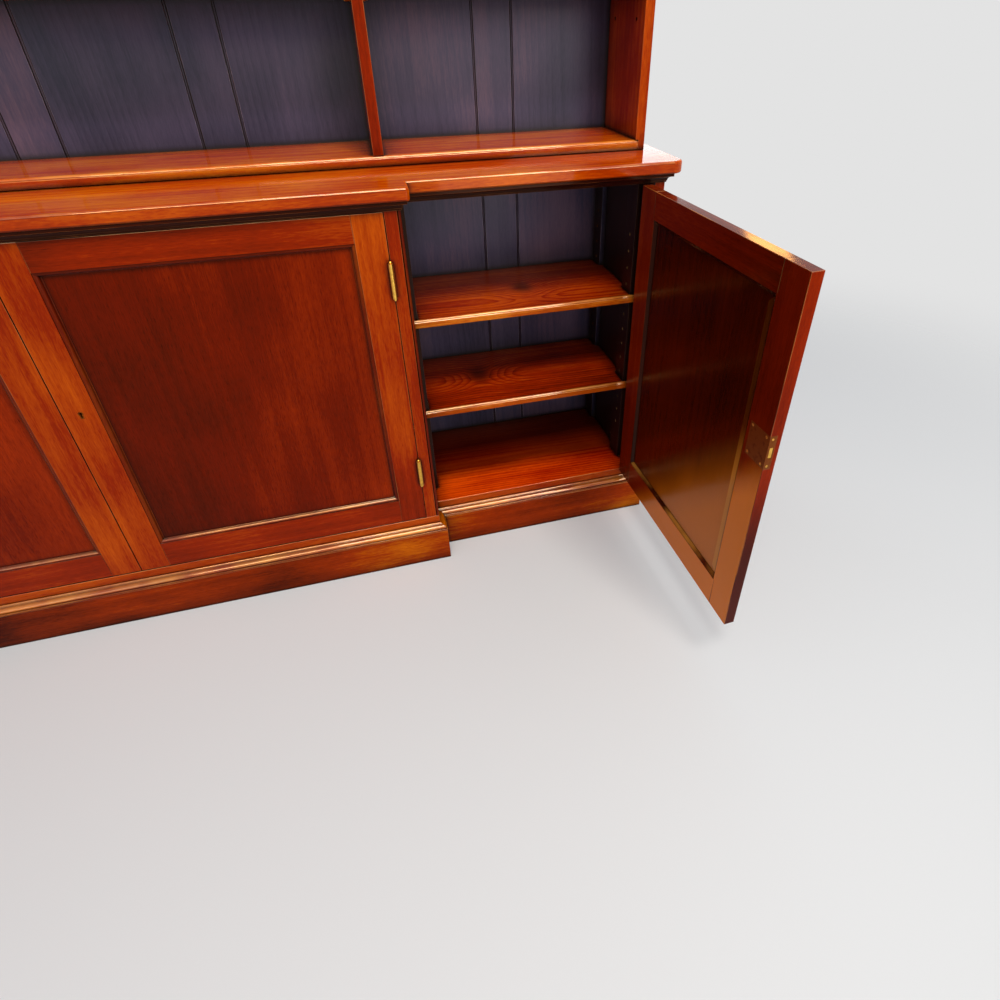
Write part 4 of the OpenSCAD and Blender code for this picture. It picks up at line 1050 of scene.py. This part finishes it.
@dataclass(frozen=True)
class PhotoCamera:
    """The photograph's camera, solved from the base's straight edges."""

    place: Triple = (0.604, -1.310, 1.164)
    right: float = 14.58  # degrees to the right of straight at the back
    down: float = 32.96
    roll: float = -0.79
    lens: float = 21.90
    shift: Pair = (-0.0314, -0.0948)
    clip: Pair = (0.05, 60.0)

    def build(self) -> None:
        """Makes the camera and sets it as the scene's."""
        data = bpy.data.cameras.new("Camera")
        data.sensor_width = 36.0
        data.lens = self.lens
        data.shift_x, data.shift_y = self.shift
        data.clip_start, data.clip_end = self.clip
        camera = put("Camera", data)
        camera.location = self.place
        level = Euler((math.radians(90 - self.down), 0.0, math.radians(-self.right))).to_matrix()
        camera.rotation_euler = (level @ Matrix.Rotation(math.radians(self.roll), 3, "Z")).to_euler()
        bpy.context.scene.camera = camera


@dataclass(frozen=True)
class SoftBox:
    """One large soft lamp."""

    name: str
    place: Triple
    aim: Triple
    size: Pair
    power: float
    tint: str = "#ffffff"
    mirrored_only: bool = False  # a reflector card: seen in the polish, but no light on the wood

    def build(self) -> None:
        """Makes the lamp."""
        data = bpy.data.lights.new(self.name, "AREA")
        data.shape = "RECTANGLE"
        data.size, data.size_y = self.size
        data.energy = self.power
        data.color = linear(self.tint)[:3]
        lamp = put(self.name, data)
        lamp.location = self.place
        lamp.visible_camera = False
        lamp.visible_diffuse = not self.mirrored_only
        lamp.rotation_euler = (Vector(self.aim) - Vector(self.place)).to_track_quat("-Z", "Y").to_euler()


@dataclass(frozen=True)
class Studio:
    """Plain pale floor, pale background and soft light."""

    floor: str = "#e2e6e8"
    background: str = "#e3e3e3"
    half_width: float = 30.0
    below: float = 0.2 * MM  # the plinth, so that they don't flicker
    fade: Pair = (0.95, 2.3)  # the floor melts into the background between these radii
    flat: float = 0.6  # and they are longer from side to side than from front to back
    ambient: float = 0.40
    ambient_tint: str = "#f4f6ff"

    def build(self) -> None:
        """Makes the floor, the world and the lamps."""
        self._floor()
        self._world()
        for lamp in (
            SoftBox("overhead", (1.0, -2.1, 3.8), (0.9, -0.4, 0.2), (2.2, 0.9), 94.0, "#fffaf4"),
            SoftBox("right_front", (2.4, -4.0, 2.3), (0.7, -0.1, 0.5), (1.2, 1.6), 54.0, "#fff6ea"),
            SoftBox("left_front", (-2.2, -4.2, 2.0), (0.2, -0.1, 0.5), (1.2, 1.4), 13.0, "#fff3e4"),
            SoftBox("behind_right", (3.42, 2.5, 2.06), (0.9, -0.2, 0.9), (0.34, 0.3), 4.0, "#ffb45a", True),
            SoftBox("behind_low", (2.37, 2.5, 1.39), (1.2, -0.1, 0.9), (0.6, 0.22), 1.2, mirrored_only=True),
            SoftBox("behind_left", (-2.4, 3.4, 2.8), (0.0, 0.0, 1.0), (1.8, 1.2), 24.0),
            SoftBox("window", (1.5, -2.92, 0.3), (0.9, -0.1, 0.9), (0.9, 0.9), 7.0, "#ffe8ec", True),
            SoftBox("card", (0.5, -2.9, 2.6), (0.5, -0.2, 0.3), (3.2, 1.0), 110.0, "#ffe6b8", True),
        ):
            lamp.build()
        bpy.context.scene.view_settings.view_transform = "Standard"

    def _floor(self) -> None:
        """Makes the floor, a plain matt sheet."""
        mesh = bpy.data.meshes.new("studio_floor")
        r = self.half_width
        mesh.from_pydata([(-r, -r, 0), (r, -r, 0), (r, r, 0), (-r, r, 0)], [], [(0, 1, 2, 3)])
        material = bpy.data.materials.new("pale_studio_floor")
        add = node_adder(material)
        matt = add("BsdfDiffuse", {"Color": linear(self.floor)})
        spot = add("NewGeometry").outputs["Position"]
        spot = add("VectorMath", (spot, (self.flat, 1.0, 0.0)), "MULTIPLY")
        away = add("VectorMath", (spot,), "LENGTH")
        far = add("MapRange", (away, *self.fade), interpolation_type="SMOOTHERSTEP")
        mix = add("MixShader", (far, matt, add("BsdfTransparent")))
        add("OutputMaterial", {"Surface": mix})
        mesh.materials.append(material)
        sheet = put("studio_floor", mesh)
        sheet.location.z = -self.below

    def _world(self) -> None:
        """Makes the world: pale to the eye, dimmer as light on the object."""
        world = bpy.data.worlds.new("studio")
        bpy.context.scene.world = world
        add = node_adder(world)
        ray = add("LightPath").outputs
        seen = add("Math", (ray["Is Camera Ray"], ray["Is Transmission Ray"]), "MAXIMUM")
        seen = add("Math", (seen, ray["Is Glossy Ray"]), "MAXIMUM")
        pale = add("Background", {"Color": linear(self.background), "Strength": 1.0})
        light = add("Background", {"Color": linear(self.ambient_tint), "Strength": self.ambient})
        mix = add("MixShader", (seen, light, pale))
        add("OutputWorld", {"Surface": mix})


def main() -> None:
    """Builds the whole scene."""
    logging.basicConfig(level=logging.INFO, format="%(name)s: %(message)s")
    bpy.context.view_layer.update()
    PhotoCamera().build()
    BaseCarcase().build()
    Shelving().build()
    UpperBookcase().build()
    CarcaseHinges().build()
    s = SIZES
    wing = (s.half + s.door_gap, s.front_w + s.door_set, s.door_z0)
    centre = (s.door_gap / 2, s.front_c + s.door_set, s.door_z0)
    wing_pin = (s.end_in - s.door_gap / 2, s.front_w - s.pin_out)
    centre_pin = (s.half - s.stile_face - s.door_gap / 2, s.front_c - s.pin_out)
    for door in (
        PanelledDoor("right_wing_door", s.wing_door_w, wing, opened=s.rest_open, pin=wing_pin),
        PanelledDoor("left_wing_door", s.wing_door_w, wing, mirrored=True, pin=wing_pin),
        PanelledDoor("right_centre_door", s.centre_door_w, centre, pin=centre_pin),
        PanelledDoor("left_centre_door", s.centre_door_w, centre, "meeting_stile", True, pin=centre_pin),
    ):
        door.build()
    Studio().build()


if __name__ == "__main__":
    main()
